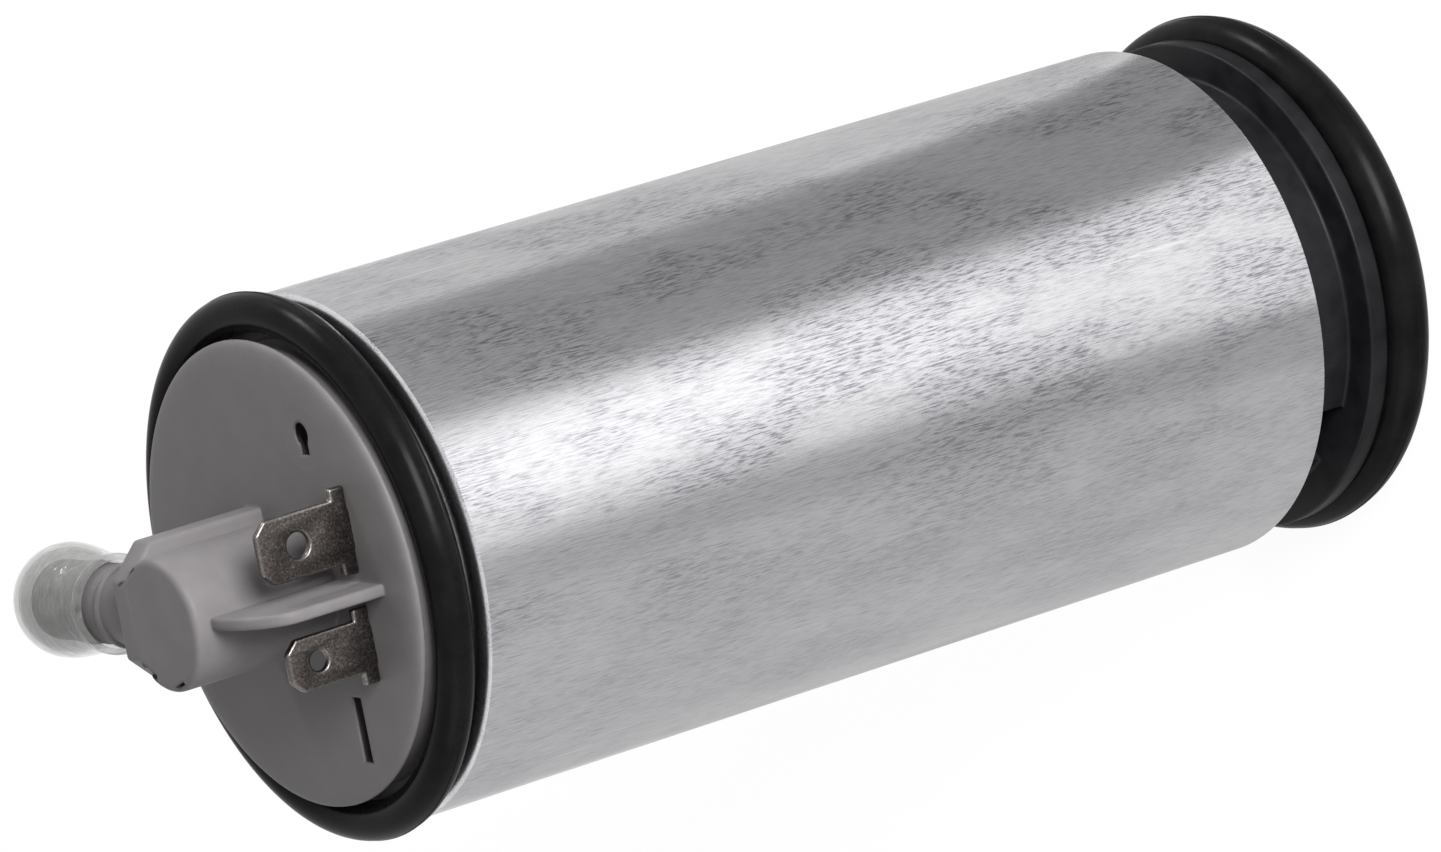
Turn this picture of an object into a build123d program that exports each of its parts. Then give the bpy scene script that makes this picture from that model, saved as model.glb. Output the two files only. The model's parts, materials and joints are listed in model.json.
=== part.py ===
from build123d import *
import os
from math import cos, degrees, pi, sin, sqrt

# Electric in-tank fuel pump of the turbine kind, in millimetres.
# The pump stands as it does in the tank. The origin is the centre of the flat inlet end,
# +Z runs along the shaft to the outlet cover, +X points to the side of the blade
# terminals, and the outlet nipple points along -X.

# Can
can_outer_d = 53.0
can_wall = 1.5
can_length = 103.5
can_lip_width = 2.3
can_bend_r = 0.4

# Clearances
seat_gap = 0.05
press_gap = 0.02
running_gap = 0.05
slide_gap = 0.1
touch_gap = 0.3

# Inlet housing, from the inlet end upwards
rear_lip_height = 0.9
rear_lip_reach = 1.05
rear_groove_slack = 0.6
flange_height = 2.2
flange_reach = 3.5
inlet_neck_gap = 0.55
socket_wall = 1.9
socket_depth = 4.0
chamber_wall = 3.75
chamber_headroom = 0.2
shoulder_height = 5.15
window_width = 7.8
window_height = 5.2
window_top_margin = 1.6
window_overcut = 1.5
window_angle = -43.0
window_count = 2
edge_break = 0.25

# Seal rings: the fat one at the inlet end, the thinner one under the cover disc
rear_ring_section_d = 4.9
rear_ring_neck_gap = 0.29
rear_ring_gap = 0.32
front_ring_section_d = 3.85
front_ring_neck_gap = 0.67
front_ring_gap = 0.43

# Inlet strainer
strainer_inset = 0.9
strainer_height = 1.6
strainer_rim_width = 2.2
strainer_mesh_thickness = 0.6
strainer_spoke_width = 1.6
strainer_spoke_count = 3

# Gaskets between the can and its two end mouldings
gasket_depth = 1.2
gasket_seat_height = 2.0
inlet_gasket_inset = 1.75
cover_gasket_inset = 6.45

# Pump stage
inlet_body_height = 7.0
stage_wall = 6.95
impeller_thickness = 3.8
impeller_side_gap = 0.1
impeller_rim_gap = 0.15
vane_count = 36
vane_slot_length = 3.2
vane_rim_wall = 0.9
vane_share = 0.62
channel_margin = 0.3
channel_depth = 1.6
channel_span = 300.0
channel_start = 30.0
port_d = 5.6
balance_hole_d = 3.0
balance_hole_count = 3
balance_pitch_d = 17.0

# Shaft and its bearings
shaft_d = 5.0
shaft_flat_depth = 0.6
shaft_top_clearance = 0.8
bearing_wall = 2.05
bearing_length = 5.0
bearing_lead_in = 0.4
bearing_recess = 0.8
thrust_button_margin = 0.5
thrust_button_height = 1.8
outlet_bearing_wall = 1.2

# Motor
flux_ring_wall = 1.75
magnet_thickness = 6.0
magnet_arc = 138.0
magnet_inset = 6.0
magnet_overhang = 2.0
air_gap = 0.7
clip_thickness = 0.6
clip_leg_length = 3.4
clip_height = 22.0
core_slot_count = 8
slot_inner_width = 2.8
slot_outer_width = 7.6
slot_inner_r = 7.2
slot_mouth_width = 1.8
slot_rim = 2.0
winding_inset = 0.25
winding_end_height = 5.0
winding_shaft_gap = 2.7
winding_end_round = 1.5
commutator_margin = 0.6
commutator_height = 5.0
commutator_gap = 0.3
segment_count = 8
segment_cut_width = 0.5
segment_cut_depth = 1.6

# Brushes, one each side of the shaft along Y
brush_size = 5.0
brush_length = 8.0
brush_lift = 2.5
guide_wall = 1.0
guide_clearance = 1.2
bearing_seat_wall = 2.2
bridge_roof = 2.1
lead_d = 1.0
lead_drop = 1.5
lead_bend_r = 2.0
lead_straight = 4.5
spring_wire_d = 0.45
brush_spring_d = 3.6
brush_spring_turns = 6
brush_spring_room = 8.13

# Outlet cover
front_groove_slack = 0.15
cover_rim_height = 1.6
cover_rim_reach = 1.05
cover_edge_height = 0.5
cover_edge_round = 0.35
cover_neck_gap = 0.5
cover_neck_wall = 1.8
cover_skirt_wall = 1.6
cover_skirt_length = 15.35
cover_floor = 3.0
boss_x = 3.25
outlet_y = -0.6
boss_d = 13.2
boss_top_cover = 1.45
boss_round = 0.8
boss_wall = 2.5
plate_y = -0.4
plate_stand_out = 0.7
plate_thickness = 3.05
plate_width = 14.2
plate_top_width = 10.1
plate_chamfer_height = 3.3
nipple_height = 10.7
nipple_d = 7.9
nipple_wall = 1.65
nipple_inset = 0.15
nipple_end_chamfer = 0.3
nipple_bead_x = -9.9
nipple_bead_width = 0.8
nipple_bead_rise = 0.3
barb_inset = 6.1
barb_length = 2.0
barb_rise = 0.2
fin_y = -0.55
fin_thickness = 1.2
fin_inset = 4.85
fin_height = 14.3
fin_curve_height = 4.8
fin_curve_length = 8.85
keyhole_x = 9.0
keyhole_inset = 8.95
keyhole_d = 2.2
key_notch_width = 1.4
key_notch_reach = 1.95
blind_slot_x = 9.5
blind_slot_inset = 8.4
blind_slot_length = 6.5
blind_slot_width = 1.6
blind_slot_depth = 2.2

# Blade terminals
blade_inset = 8.85
blade_thickness = 0.8
large_blade = {"side": 1, "fin_gap": 0.95, "width": 6.3, "height": 10.6, "hole_d": 2.5, "hole_z": 6.1}
small_blade = {"side": -1, "fin_gap": 1.05, "width": 5.2, "height": 9.7, "hole_d": 2.0, "hole_z": 6.3}
shoulder_margin = 1.15
shoulder_rise = 1.75
blade_chamfer = 1.2
leg_width = 4.0
leg_depth = 3.4

# Suppression chokes
choke_core_d = 2.6
choke_length = 12.0
choke_wire_d = 0.7
choke_turns = 8
choke_coil_inset = 1.0

# Check valve in the outlet boss
valve_tube_drop = 5.5
valve_seat_height = 2.4
valve_seat_bore_d = 4.4
poppet_overlap = 0.9
poppet_head_height = 1.4
poppet_cone = 0.7
poppet_stem_d = 2.0
valve_guide_gap = 1.3
valve_guide_height = 1.8
valve_guide_hub_d = 4.0
valve_guide_spokes = 3
valve_guide_spoke_width = 1.2
valve_guide_rim = 0.8
valve_spring_d = 3.6
valve_spring_turns = 5

# Relief valve under the keyhole
relief_bore_d = 4.6
relief_tube_wall = 1.4
relief_tube_drop = 10.0
relief_seat_height = 1.6
relief_seat_bore_d = 2.4
relief_ball_gap = 0.3
relief_spring_turns = 4

# Clear dust cap on the nipple
cap_wall = 0.5
cap_grip_gap = 0.15
cap_cover_length = 10.35
cap_rim_width = 0.8
cap_rim_rise = 0.15
cap_neck_length = 1.4
cap_bulb_offset = 1.3
cap_bulb_rise = 0.88

# Radii that follow from the can, inwards
can_r = can_outer_d / 2
can_inner_r = can_r - can_wall
can_lip_r = can_inner_r - can_lip_width
neck_r = can_lip_r - inlet_neck_gap
rear_lip_r = neck_r + rear_lip_reach
flange_r = neck_r + flange_reach
socket_r = neck_r - socket_wall
chamber_r = neck_r - chamber_wall
strainer_r = socket_r - strainer_inset
rear_ring_r = neck_r + rear_ring_neck_gap + rear_ring_section_d / 2
cover_neck_r = can_lip_r - cover_neck_gap
cover_inner_r = cover_neck_r - cover_neck_wall
cover_disc_r = cover_neck_r + cover_rim_reach
front_ring_r = cover_neck_r + front_ring_neck_gap + front_ring_section_d / 2
seated_r = can_inner_r - seat_gap
gasket_seat_r = seated_r - gasket_depth
skirt_inner_r = seated_r - cover_skirt_wall - gasket_depth
impeller_r = seated_r - stage_wall
channel_r = impeller_r - vane_rim_wall - vane_slot_length / 2
channel_width = vane_slot_length + 2 * channel_margin
vane_slot_width = vane_share * 2 * pi * (channel_r - vane_slot_length / 2) / vane_count
flux_inner_r = seated_r - flux_ring_wall
magnet_outer_r = flux_inner_r - seat_gap
magnet_inner_r = magnet_outer_r - magnet_thickness
core_r = magnet_inner_r - air_gap

# Radii that follow from the shaft, outwards
shaft_r = shaft_d / 2
thrust_button_r = shaft_r + thrust_button_margin
bearing_r = shaft_r + running_gap + bearing_wall
guide_size = brush_size + 2 * slide_gap
guide_outer_size = guide_size + 2 * guide_wall
brush_pitch_r = bearing_r + bearing_seat_wall + guide_size / 2
commutator_r = brush_pitch_r + brush_size / 2 + commutator_margin
winding_head_inner_r = shaft_r + winding_shaft_gap
winding_head_outer_r = core_r - slot_rim - winding_inset
winding_head_width = winding_head_outer_r - winding_head_inner_r
winding_head_r = winding_head_outer_r - winding_head_width / 2

# Heights of the inlet end and the pump stage, from the flat inlet end upwards
ledge_z = socket_depth + strainer_height
flange_z = rear_lip_height + rear_ring_section_d + rear_groove_slack
rear_ring_z = flange_z - rear_ring_gap - rear_ring_section_d / 2
neck_z = flange_z + flange_height
window_top_z = neck_z + window_height
chamber_top_z = window_top_z + chamber_headroom
can_z = window_top_z + window_top_margin
shoulder_z = can_z + can_wall
inlet_gasket_z = shoulder_z + inlet_gasket_inset
inlet_body_z = shoulder_z + shoulder_height
outlet_body_z = inlet_body_z + inlet_body_height
button_z = outlet_body_z - thrust_button_height
impeller_z = outlet_body_z + impeller_side_gap
pocket_height = impeller_thickness + 2 * impeller_side_gap
lower_bearing_z = outlet_body_z + pocket_height + outlet_bearing_wall
motor_z = lower_bearing_z + bearing_length + bearing_recess

# Heights of the outlet end, from the can's top
can_top_z = can_z + can_length
front_ring_z = can_top_z + front_ring_gap + front_ring_section_d / 2
cover_shoulder_z = can_top_z - can_wall
cover_gasket_z = cover_shoulder_z - cover_gasket_inset
skirt_z = cover_shoulder_z - cover_skirt_length
cover_z = can_top_z + front_ring_section_d + front_groove_slack + cover_rim_height
cover_floor_z = cover_z - cover_floor

# Heights of the motor, from the cover's floor down to the magnets
guide_top_z = cover_floor_z - guide_wall
brush_top_z = guide_top_z - brush_spring_room
brush_z = brush_top_z - brush_length
commutator_top_z = brush_z - press_gap
commutator_z = commutator_top_z - commutator_height
winding_top_z = commutator_z - commutator_gap
core_top_z = winding_top_z - winding_end_height
magnet_z = motor_z + magnet_inset
core_z = magnet_z + magnet_overhang
core_length = core_top_z - core_z
magnet_length = core_length + 2 * magnet_overhang
guide_z = commutator_top_z + guide_clearance
bearing_top_z = guide_z + bearing_length
shaft_top_z = bearing_top_z + shaft_top_clearance
bridge_top_z = shaft_top_z + touch_gap + bridge_roof
lead_z = brush_top_z - lead_drop
lead_slot_width = lead_d + 2 * touch_gap

# Boss, plate and nipple
boss_r = boss_d / 2
plate_back_x = boss_x - boss_r - plate_stand_out
nipple_r = nipple_d / 2
nipple_bore_r = nipple_r - nipple_wall
nipple_bead_r = nipple_r + nipple_bead_rise
nipple_axis_z = cover_z + nipple_height
nipple_end_x = nipple_inset - cover_disc_r
barb_x = nipple_end_x + barb_inset
barb_r = nipple_r + barb_rise
boss_top_z = nipple_axis_z + nipple_r + boss_top_cover

# Fin, keyhole, blind slot, blades and chokes
fin_reach_x = cover_disc_r - fin_inset
fin_curve_x = fin_reach_x - fin_curve_length
keyhole_y = cover_disc_r - keyhole_inset
blind_slot_y = blind_slot_inset - cover_disc_r
blade_x = cover_disc_r - blade_inset
for blade in (large_blade, small_blade):
    fin_side = fin_thickness / 2 + blade["fin_gap"] + shoulder_margin
    blade["y"] = fin_y + blade["side"] * (fin_side + blade["width"] / 2)
choke_top_z = cover_floor_z - leg_depth
choke_z = choke_top_z - choke_length
choke_coil_r = choke_core_d / 2 + seat_gap + choke_wire_d / 2
choke_coil_z = choke_z + choke_coil_inset
choke_coil_height = choke_length - 2 * choke_coil_inset

# Valves
valve_bore_r = boss_r - boss_wall
valve_seat_z = cover_floor_z - valve_tube_drop
poppet_z = valve_seat_z + valve_seat_height
poppet_head_r = valve_seat_bore_d / 2 + poppet_overlap
guide_disc_z = nipple_axis_z - nipple_bore_r - valve_guide_gap - valve_guide_height
relief_bore_r = relief_bore_d / 2
relief_tube_r = relief_bore_r + relief_tube_wall
relief_seat_z = cover_floor_z - relief_tube_drop

# Dust cap
cap_inner_r = barb_r + cap_grip_gap
cap_neck_r = cap_inner_r + cap_wall
cap_rim_r = cap_neck_r + cap_rim_rise
cap_rim_x = nipple_end_x + cap_cover_length
cap_neck_end_x = cap_rim_x - cap_neck_length
cap_bulb_x = nipple_end_x + cap_bulb_offset
cap_bulb_r = cap_neck_r + cap_bulb_rise

nipple_plane = Plane(origin=(0, outlet_y, nipple_axis_z), x_dir=(1, 0, 0), z_dir=(0, -1, 0))
nipple_axis = Axis((0, outlet_y, nipple_axis_z), (1, 0, 0))
valve_plane = Plane(origin=(boss_x, outlet_y, 0), x_dir=(1, 0, 0), z_dir=(0, -1, 0))
valve_axis = Axis((boss_x, outlet_y, 0), (0, 0, 1))

os.makedirs("parts", exist_ok=True)


def quarter_turns(radius, wire_d, turns, height, x, y, z):
    """Path of a coil as pairs of tangent arcs, a pair to each quarter turn."""
    steps = 4 * turns
    pitch = height / turns
    slope = pitch / (2 * pi)
    points = []
    tangents = []
    for i in range(steps + 1):
        turn = i * pi / 2
        points.append(Vector(x + radius * cos(turn), y + radius * sin(turn), z + slope * turn))
        tangents.append(Vector(-radius * sin(turn), radius * cos(turn), slope).normalized())
    arcs = []
    for start, end, t0, t1 in zip(points, points[1:], tangents, tangents[1:]):
        chord = end - start
        along = chord.dot(t0 + t1)
        bend = 2 * (1 - t0.dot(t1))
        reach = (sqrt(along**2 + bend * chord.dot(chord)) - along) / bend
        first = start + t0 * reach
        last = end - t1 * reach
        joint = (first + last) * 0.5
        arcs.append(Edge.make_tangent_arc(start, t0, joint))
        arcs.append(Edge.make_tangent_arc(joint, last - first, end))
    print(f"coil at z {z:.1f}: least gap between turns {pitch - wire_d:.2f} mm")
    return Wire(arcs)


# Can: a drawn tube with both ends rolled in over its contents
with BuildPart() as pump_can:
    with BuildSketch(Plane.XZ) as can_wall_section:
        with BuildLine():
            Polyline(
                (can_lip_r, can_z),
                (can_r, can_z),
                (can_r, can_top_z),
                (can_lip_r, can_top_z),
                (can_lip_r, cover_shoulder_z),
                (can_inner_r, cover_shoulder_z),
                (can_inner_r, shoulder_z),
                (can_lip_r, shoulder_z),
                close=True,
            )
        make_face()
        outer_corners = can_wall_section.vertices().group_by(Axis.X)[-1]
        fillet(outer_corners, can_bend_r)
    revolve(axis=Axis.Z)
pump_can.part.label = "pump_can"
export_step(pump_can.part, "parts/pump_can.step")

# Inlet housing: black moulding with the fuel windows, the flange and the ring seat
with BuildPart() as inlet_housing:
    with BuildSketch(Plane.XZ):
        with BuildLine():
            Polyline(
                (0, chamber_top_z),
                (chamber_r, chamber_top_z),
                (chamber_r, ledge_z),
                (strainer_r + seat_gap, ledge_z),
                (strainer_r + seat_gap, socket_depth),
                (socket_r, socket_depth),
                (socket_r, 0),
                (rear_lip_r, 0),
                (rear_lip_r, rear_lip_height),
                (neck_r, rear_lip_height),
                (neck_r, flange_z),
                (flange_r, flange_z),
                (flange_r, neck_z),
                (neck_r, neck_z),
                (neck_r, shoulder_z),
                (seated_r, shoulder_z),
                (seated_r, inlet_gasket_z),
                (gasket_seat_r, inlet_gasket_z),
                (gasket_seat_r, inlet_gasket_z + gasket_seat_height),
                (seated_r, inlet_gasket_z + gasket_seat_height),
                (seated_r, inlet_body_z),
                (0, inlet_body_z),
                close=True,
            )
        make_face()
    revolve(axis=Axis.Z)
    with BuildSketch(Plane.XY.offset(neck_z)):
        with PolarLocations(neck_r, window_count, start_angle=window_angle):
            Rectangle(2 * (chamber_wall + window_overcut), window_width)
    extrude(amount=window_height, mode=Mode.SUBTRACT)
    with BuildSketch(Plane.XY.offset(chamber_top_z)):
        with PolarLocations(channel_r, 1, start_angle=channel_start):
            Circle(port_d / 2)
    extrude(amount=inlet_body_z - chamber_top_z, mode=Mode.SUBTRACT)
    round_edges = inlet_housing.edges().filter_by(GeomType.CIRCLE)
    chamfer([edge for edge in round_edges if abs(edge.radius - flange_r) < press_gap], edge_break)
inlet_housing.part.label = "inlet_housing"
export_step(inlet_housing.part, "parts/inlet_housing.step")

# Inlet strainer: a rim, its spokes and a thin disc where the mesh is
with BuildPart() as inlet_strainer:
    with BuildSketch(Plane.XY.offset(socket_depth)):
        Circle(strainer_r)
        Circle(strainer_r - strainer_rim_width, mode=Mode.SUBTRACT)
        with PolarLocations(0, strainer_spoke_count):
            Rectangle(
                strainer_r - strainer_rim_width / 2,
                strainer_spoke_width,
                align=(Align.MIN, Align.CENTER),
            )
    extrude(amount=strainer_height)
    with BuildSketch(Plane.XY.offset(socket_depth + (strainer_height - strainer_mesh_thickness) / 2)):
        Circle(strainer_r - strainer_rim_width / 2)
    extrude(amount=strainer_mesh_thickness)
inlet_strainer.part.label = "inlet_strainer"
export_step(inlet_strainer.part, "parts/inlet_strainer.step")

# Flat gaskets that seal the cover and the inlet housing to the can
for name, z in {"cover_gasket": cover_gasket_z, "inlet_gasket": inlet_gasket_z}.items():
    with BuildPart() as gasket:
        with BuildSketch(Plane.XY.offset(z + seat_gap)):
            Circle(seated_r)
            Circle(gasket_seat_r + seat_gap, mode=Mode.SUBTRACT)
        extrude(amount=gasket_seat_height - 2 * seat_gap)
    gasket.part.label = name
    export_step(gasket.part, f"parts/{name}.step")

# Fat rubber seal rings that carry the pump in its holder
for name, middle_r, z, section_d in (
    ("front_seal_ring", front_ring_r, front_ring_z, front_ring_section_d),
    ("rear_seal_ring", rear_ring_r, rear_ring_z, rear_ring_section_d),
):
    with BuildPart() as seal_ring:
        with BuildSketch(Plane.XZ):
            with Locations((middle_r, z)):
                Circle(section_d / 2)
        revolve(axis=Axis.Z)
    seal_ring.part.label = name
    export_step(seal_ring.part, f"parts/{name}.step")

# Pump inlet body: floor of the pump stage with its side channel and inlet port
with BuildPart() as pump_inlet_body:
    with BuildSketch(Plane.XY.offset(inlet_body_z)):
        Circle(seated_r)
    extrude(amount=inlet_body_height)
    with BuildSketch(Plane.XY.offset(outlet_body_z)):
        SlotArc(CenterArc((0, 0), channel_r, channel_start, channel_span), channel_width)
    extrude(amount=-channel_depth, mode=Mode.SUBTRACT)
    with BuildSketch(Plane.XY.offset(inlet_body_z)):
        with PolarLocations(channel_r, 1, start_angle=channel_start):
            Circle(port_d / 2)
    extrude(amount=inlet_body_height, mode=Mode.SUBTRACT)
    with BuildSketch(Plane.XY.offset(button_z)):
        Circle(thrust_button_r + press_gap)
    extrude(amount=thrust_button_height, mode=Mode.SUBTRACT)
pump_inlet_body.part.label = "pump_inlet_body"
export_step(pump_inlet_body.part, "parts/pump_inlet_body.step")

# Thrust button: carries the end of the shaft
with BuildPart() as thrust_button:
    with BuildSketch(Plane.XY.offset(button_z)):
        Circle(thrust_button_r)
    extrude(amount=thrust_button_height - press_gap)
    chamfer(thrust_button.edges().group_by(Axis.Z)[0], edge_break)
thrust_button.part.label = "thrust_button"
export_step(thrust_button.part, "parts/thrust_button.step")

# Pump outlet body: roof of the pump stage, over the impeller, with the lower bearing
with BuildPart() as pump_outlet_body:
    with BuildSketch(Plane.XY.offset(outlet_body_z)):
        Circle(seated_r)
    extrude(amount=motor_z - outlet_body_z)
    with BuildSketch(Plane.XY.offset(outlet_body_z)):
        Circle(impeller_r + impeller_rim_gap)
    extrude(amount=pocket_height, mode=Mode.SUBTRACT)
    with BuildSketch(Plane.XY.offset(outlet_body_z + pocket_height)):
        SlotArc(CenterArc((0, 0), channel_r, channel_start, channel_span), channel_width)
    extrude(amount=channel_depth, mode=Mode.SUBTRACT)
    with BuildSketch(Plane.XY.offset(outlet_body_z + pocket_height)):
        with PolarLocations(channel_r, 1, start_angle=channel_start + channel_span):
            Circle(port_d / 2)
        Circle(shaft_r + touch_gap)
    extrude(amount=motor_z - outlet_body_z - pocket_height, mode=Mode.SUBTRACT)
    with BuildSketch(Plane.XY.offset(lower_bearing_z)):
        Circle(bearing_r + press_gap)
    extrude(amount=motor_z - lower_bearing_z, mode=Mode.SUBTRACT)
pump_outlet_body.part.label = "pump_outlet_body"
export_step(pump_outlet_body.part, "parts/pump_outlet_body.step")

# Impeller: a disc with a ring of vane slots near its rim, driven by the shaft's flat
with BuildPart() as impeller:
    with BuildSketch(Plane.XY.offset(impeller_z)):
        Circle(impeller_r)
        with PolarLocations(channel_r, vane_count):
            Rectangle(vane_slot_length, vane_slot_width, mode=Mode.SUBTRACT)
        with PolarLocations(balance_pitch_d / 2, balance_hole_count):
            Circle(balance_hole_d / 2, mode=Mode.SUBTRACT)
    extrude(amount=impeller_thickness)
    with BuildSketch(Plane.XY.offset(impeller_z)):
        Circle(shaft_r + slide_gap)
        with Locations((shaft_r - shaft_flat_depth + slide_gap, 0)):
            Rectangle(shaft_d, shaft_d, align=(Align.MIN, Align.CENTER), mode=Mode.SUBTRACT)
    extrude(amount=impeller_thickness, mode=Mode.SUBTRACT)
impeller.part.label = "impeller"
export_step(impeller.part, "parts/impeller.step")

# Shaft
with BuildPart() as shaft:
    with BuildSketch(Plane.XY.offset(outlet_body_z)):
        Circle(shaft_r)
    extrude(amount=shaft_top_z - outlet_body_z)
    chamfer(shaft.edges().group_by(Axis.Z)[-1], edge_break)
    with BuildSketch(Plane.XY.offset(outlet_body_z)):
        with Locations((shaft_r - shaft_flat_depth, 0)):
            Rectangle(shaft_d, shaft_d, align=(Align.MIN, Align.CENTER))
    extrude(amount=pocket_height, mode=Mode.SUBTRACT)
shaft.part.label = "shaft"
export_step(shaft.part, "parts/shaft.step")

# Plain bearings of the shaft
for name, z in {"lower_bearing": lower_bearing_z, "upper_bearing": guide_z}.items():
    with BuildPart() as bearing:
        with BuildSketch(Plane.XY.offset(z)):
            Circle(bearing_r)
            Circle(shaft_r + running_gap, mode=Mode.SUBTRACT)
        extrude(amount=bearing_length)
        chamfer(bearing.edges().filter_by(GeomType.CIRCLE).group_by(SortBy.RADIUS)[-1], bearing_lead_in)
    bearing.part.label = name
    export_step(bearing.part, f"parts/{name}.step")

# Flux ring: the steel sleeve behind the magnets, held between pump stage and cover
with BuildPart() as flux_ring:
    with BuildSketch(Plane.XY.offset(motor_z)):
        Circle(seated_r)
        Circle(flux_inner_r, mode=Mode.SUBTRACT)
    extrude(amount=skirt_z - motor_z)
flux_ring.part.label = "flux_ring"
export_step(flux_ring.part, "parts/flux_ring.step")

# Magnets: two arc segments, with the brushes on the line between their middles
for name, middle in {"magnet_north": 90.0, "magnet_south": 270.0}.items():
    with BuildPart() as magnet:
        with BuildSketch(Plane.XY.offset(magnet_z)):
            with BuildLine():
                outer = CenterArc((0, 0), magnet_outer_r, middle - magnet_arc / 2, magnet_arc)
                inner = CenterArc((0, 0), magnet_inner_r, middle - magnet_arc / 2, magnet_arc)
                Line(outer @ 0, inner @ 0)
                Line(outer @ 1, inner @ 1)
            make_face()
        extrude(amount=magnet_length)
    magnet.part.label = name
    export_step(magnet.part, f"parts/{name}.step")

# Magnet clips: bent strips that spread the magnets apart in the two gaps
clip_leg_r = magnet_outer_r - clip_leg_length / 2
clip_half_span = (180 - magnet_arc) / 2 - degrees((clip_thickness / 2 + slide_gap) / clip_leg_r)
for name, middle in {"magnet_clip_front": 0.0, "magnet_clip_back": 180.0}.items():
    with BuildPart() as clip:
        with BuildSketch(Plane.XY.offset(magnet_z + (magnet_length - clip_height) / 2)):
            with BuildLine():
                outer = CenterArc((0, 0), magnet_outer_r, middle - clip_half_span, 2 * clip_half_span)
                inner = CenterArc(
                    (0, 0), magnet_outer_r - clip_thickness, middle - clip_half_span, 2 * clip_half_span
                )
                Line(outer @ 0, inner @ 0)
                Line(outer @ 1, inner @ 1)
            make_face()
            with PolarLocations(
                clip_leg_r, 2, start_angle=middle - clip_half_span,
                angular_range=2 * clip_half_span, endpoint=True,
            ):
                Rectangle(clip_leg_length - clip_thickness / 2, clip_thickness)
        extrude(amount=clip_height)
    clip.part.label = name
    export_step(clip.part, f"parts/{name}.step")


def slot_outline(inset):
    """Corner points of one winding slot of the core, drawn in by the inset."""
    inner = (slot_inner_width / 2 - inset, slot_inner_r + inset)
    outer = (slot_outer_width / 2 - inset, core_r - slot_rim - inset)
    return [(-inner[0], inner[1]), inner, outer, (-outer[0], outer[1])]


# Armature core: the lamination stack with open winding slots
with BuildPart() as armature_core:
    with BuildSketch(Plane.XY.offset(core_z)):
        Circle(core_r)
        with PolarLocations(0, core_slot_count):
            Polygon(*slot_outline(0), align=None, mode=Mode.SUBTRACT)
            with Locations((0, core_r - slot_rim - winding_inset)):
                Rectangle(
                    slot_mouth_width, 2 * slot_rim, align=(Align.CENTER, Align.MIN), mode=Mode.SUBTRACT
                )
        Circle(shaft_r + press_gap, mode=Mode.SUBTRACT)
    extrude(amount=core_length)
armature_core.part.label = "armature_core"
export_step(armature_core.part, "parts/armature_core.step")

# Armature winding: the copper in the slots and the two end heads
with BuildPart() as armature_winding:
    with BuildSketch(Plane.XY.offset(core_z - winding_end_height / 2)):
        with PolarLocations(0, core_slot_count):
            Polygon(*slot_outline(winding_inset), align=None)
    extrude(amount=core_length + winding_end_height)
    with BuildSketch(Plane.XZ):
        with Locations(
            (winding_head_r, core_z - winding_end_height / 2),
            (winding_head_r, core_top_z + winding_end_height / 2),
        ):
            RectangleRounded(winding_head_width, winding_end_height, winding_end_round)
    revolve(axis=Axis.Z)
armature_winding.part.label = "armature_winding"
export_step(armature_winding.part, "parts/armature_winding.step")

# Commutator: a flat disc cut into segments
with BuildPart() as commutator:
    with BuildSketch(Plane.XY.offset(commutator_z)):
        Circle(commutator_r)
        Circle(shaft_r + press_gap, mode=Mode.SUBTRACT)
    extrude(amount=commutator_height)
    with BuildSketch(Plane.XY.offset(commutator_top_z)):
        with PolarLocations(shaft_d, segment_count):
            Rectangle(2 * commutator_r, segment_cut_width, align=(Align.MIN, Align.CENTER))
    extrude(amount=-segment_cut_depth, mode=Mode.SUBTRACT)
commutator.part.label = "commutator"
export_step(commutator.part, "parts/commutator.step")

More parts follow.
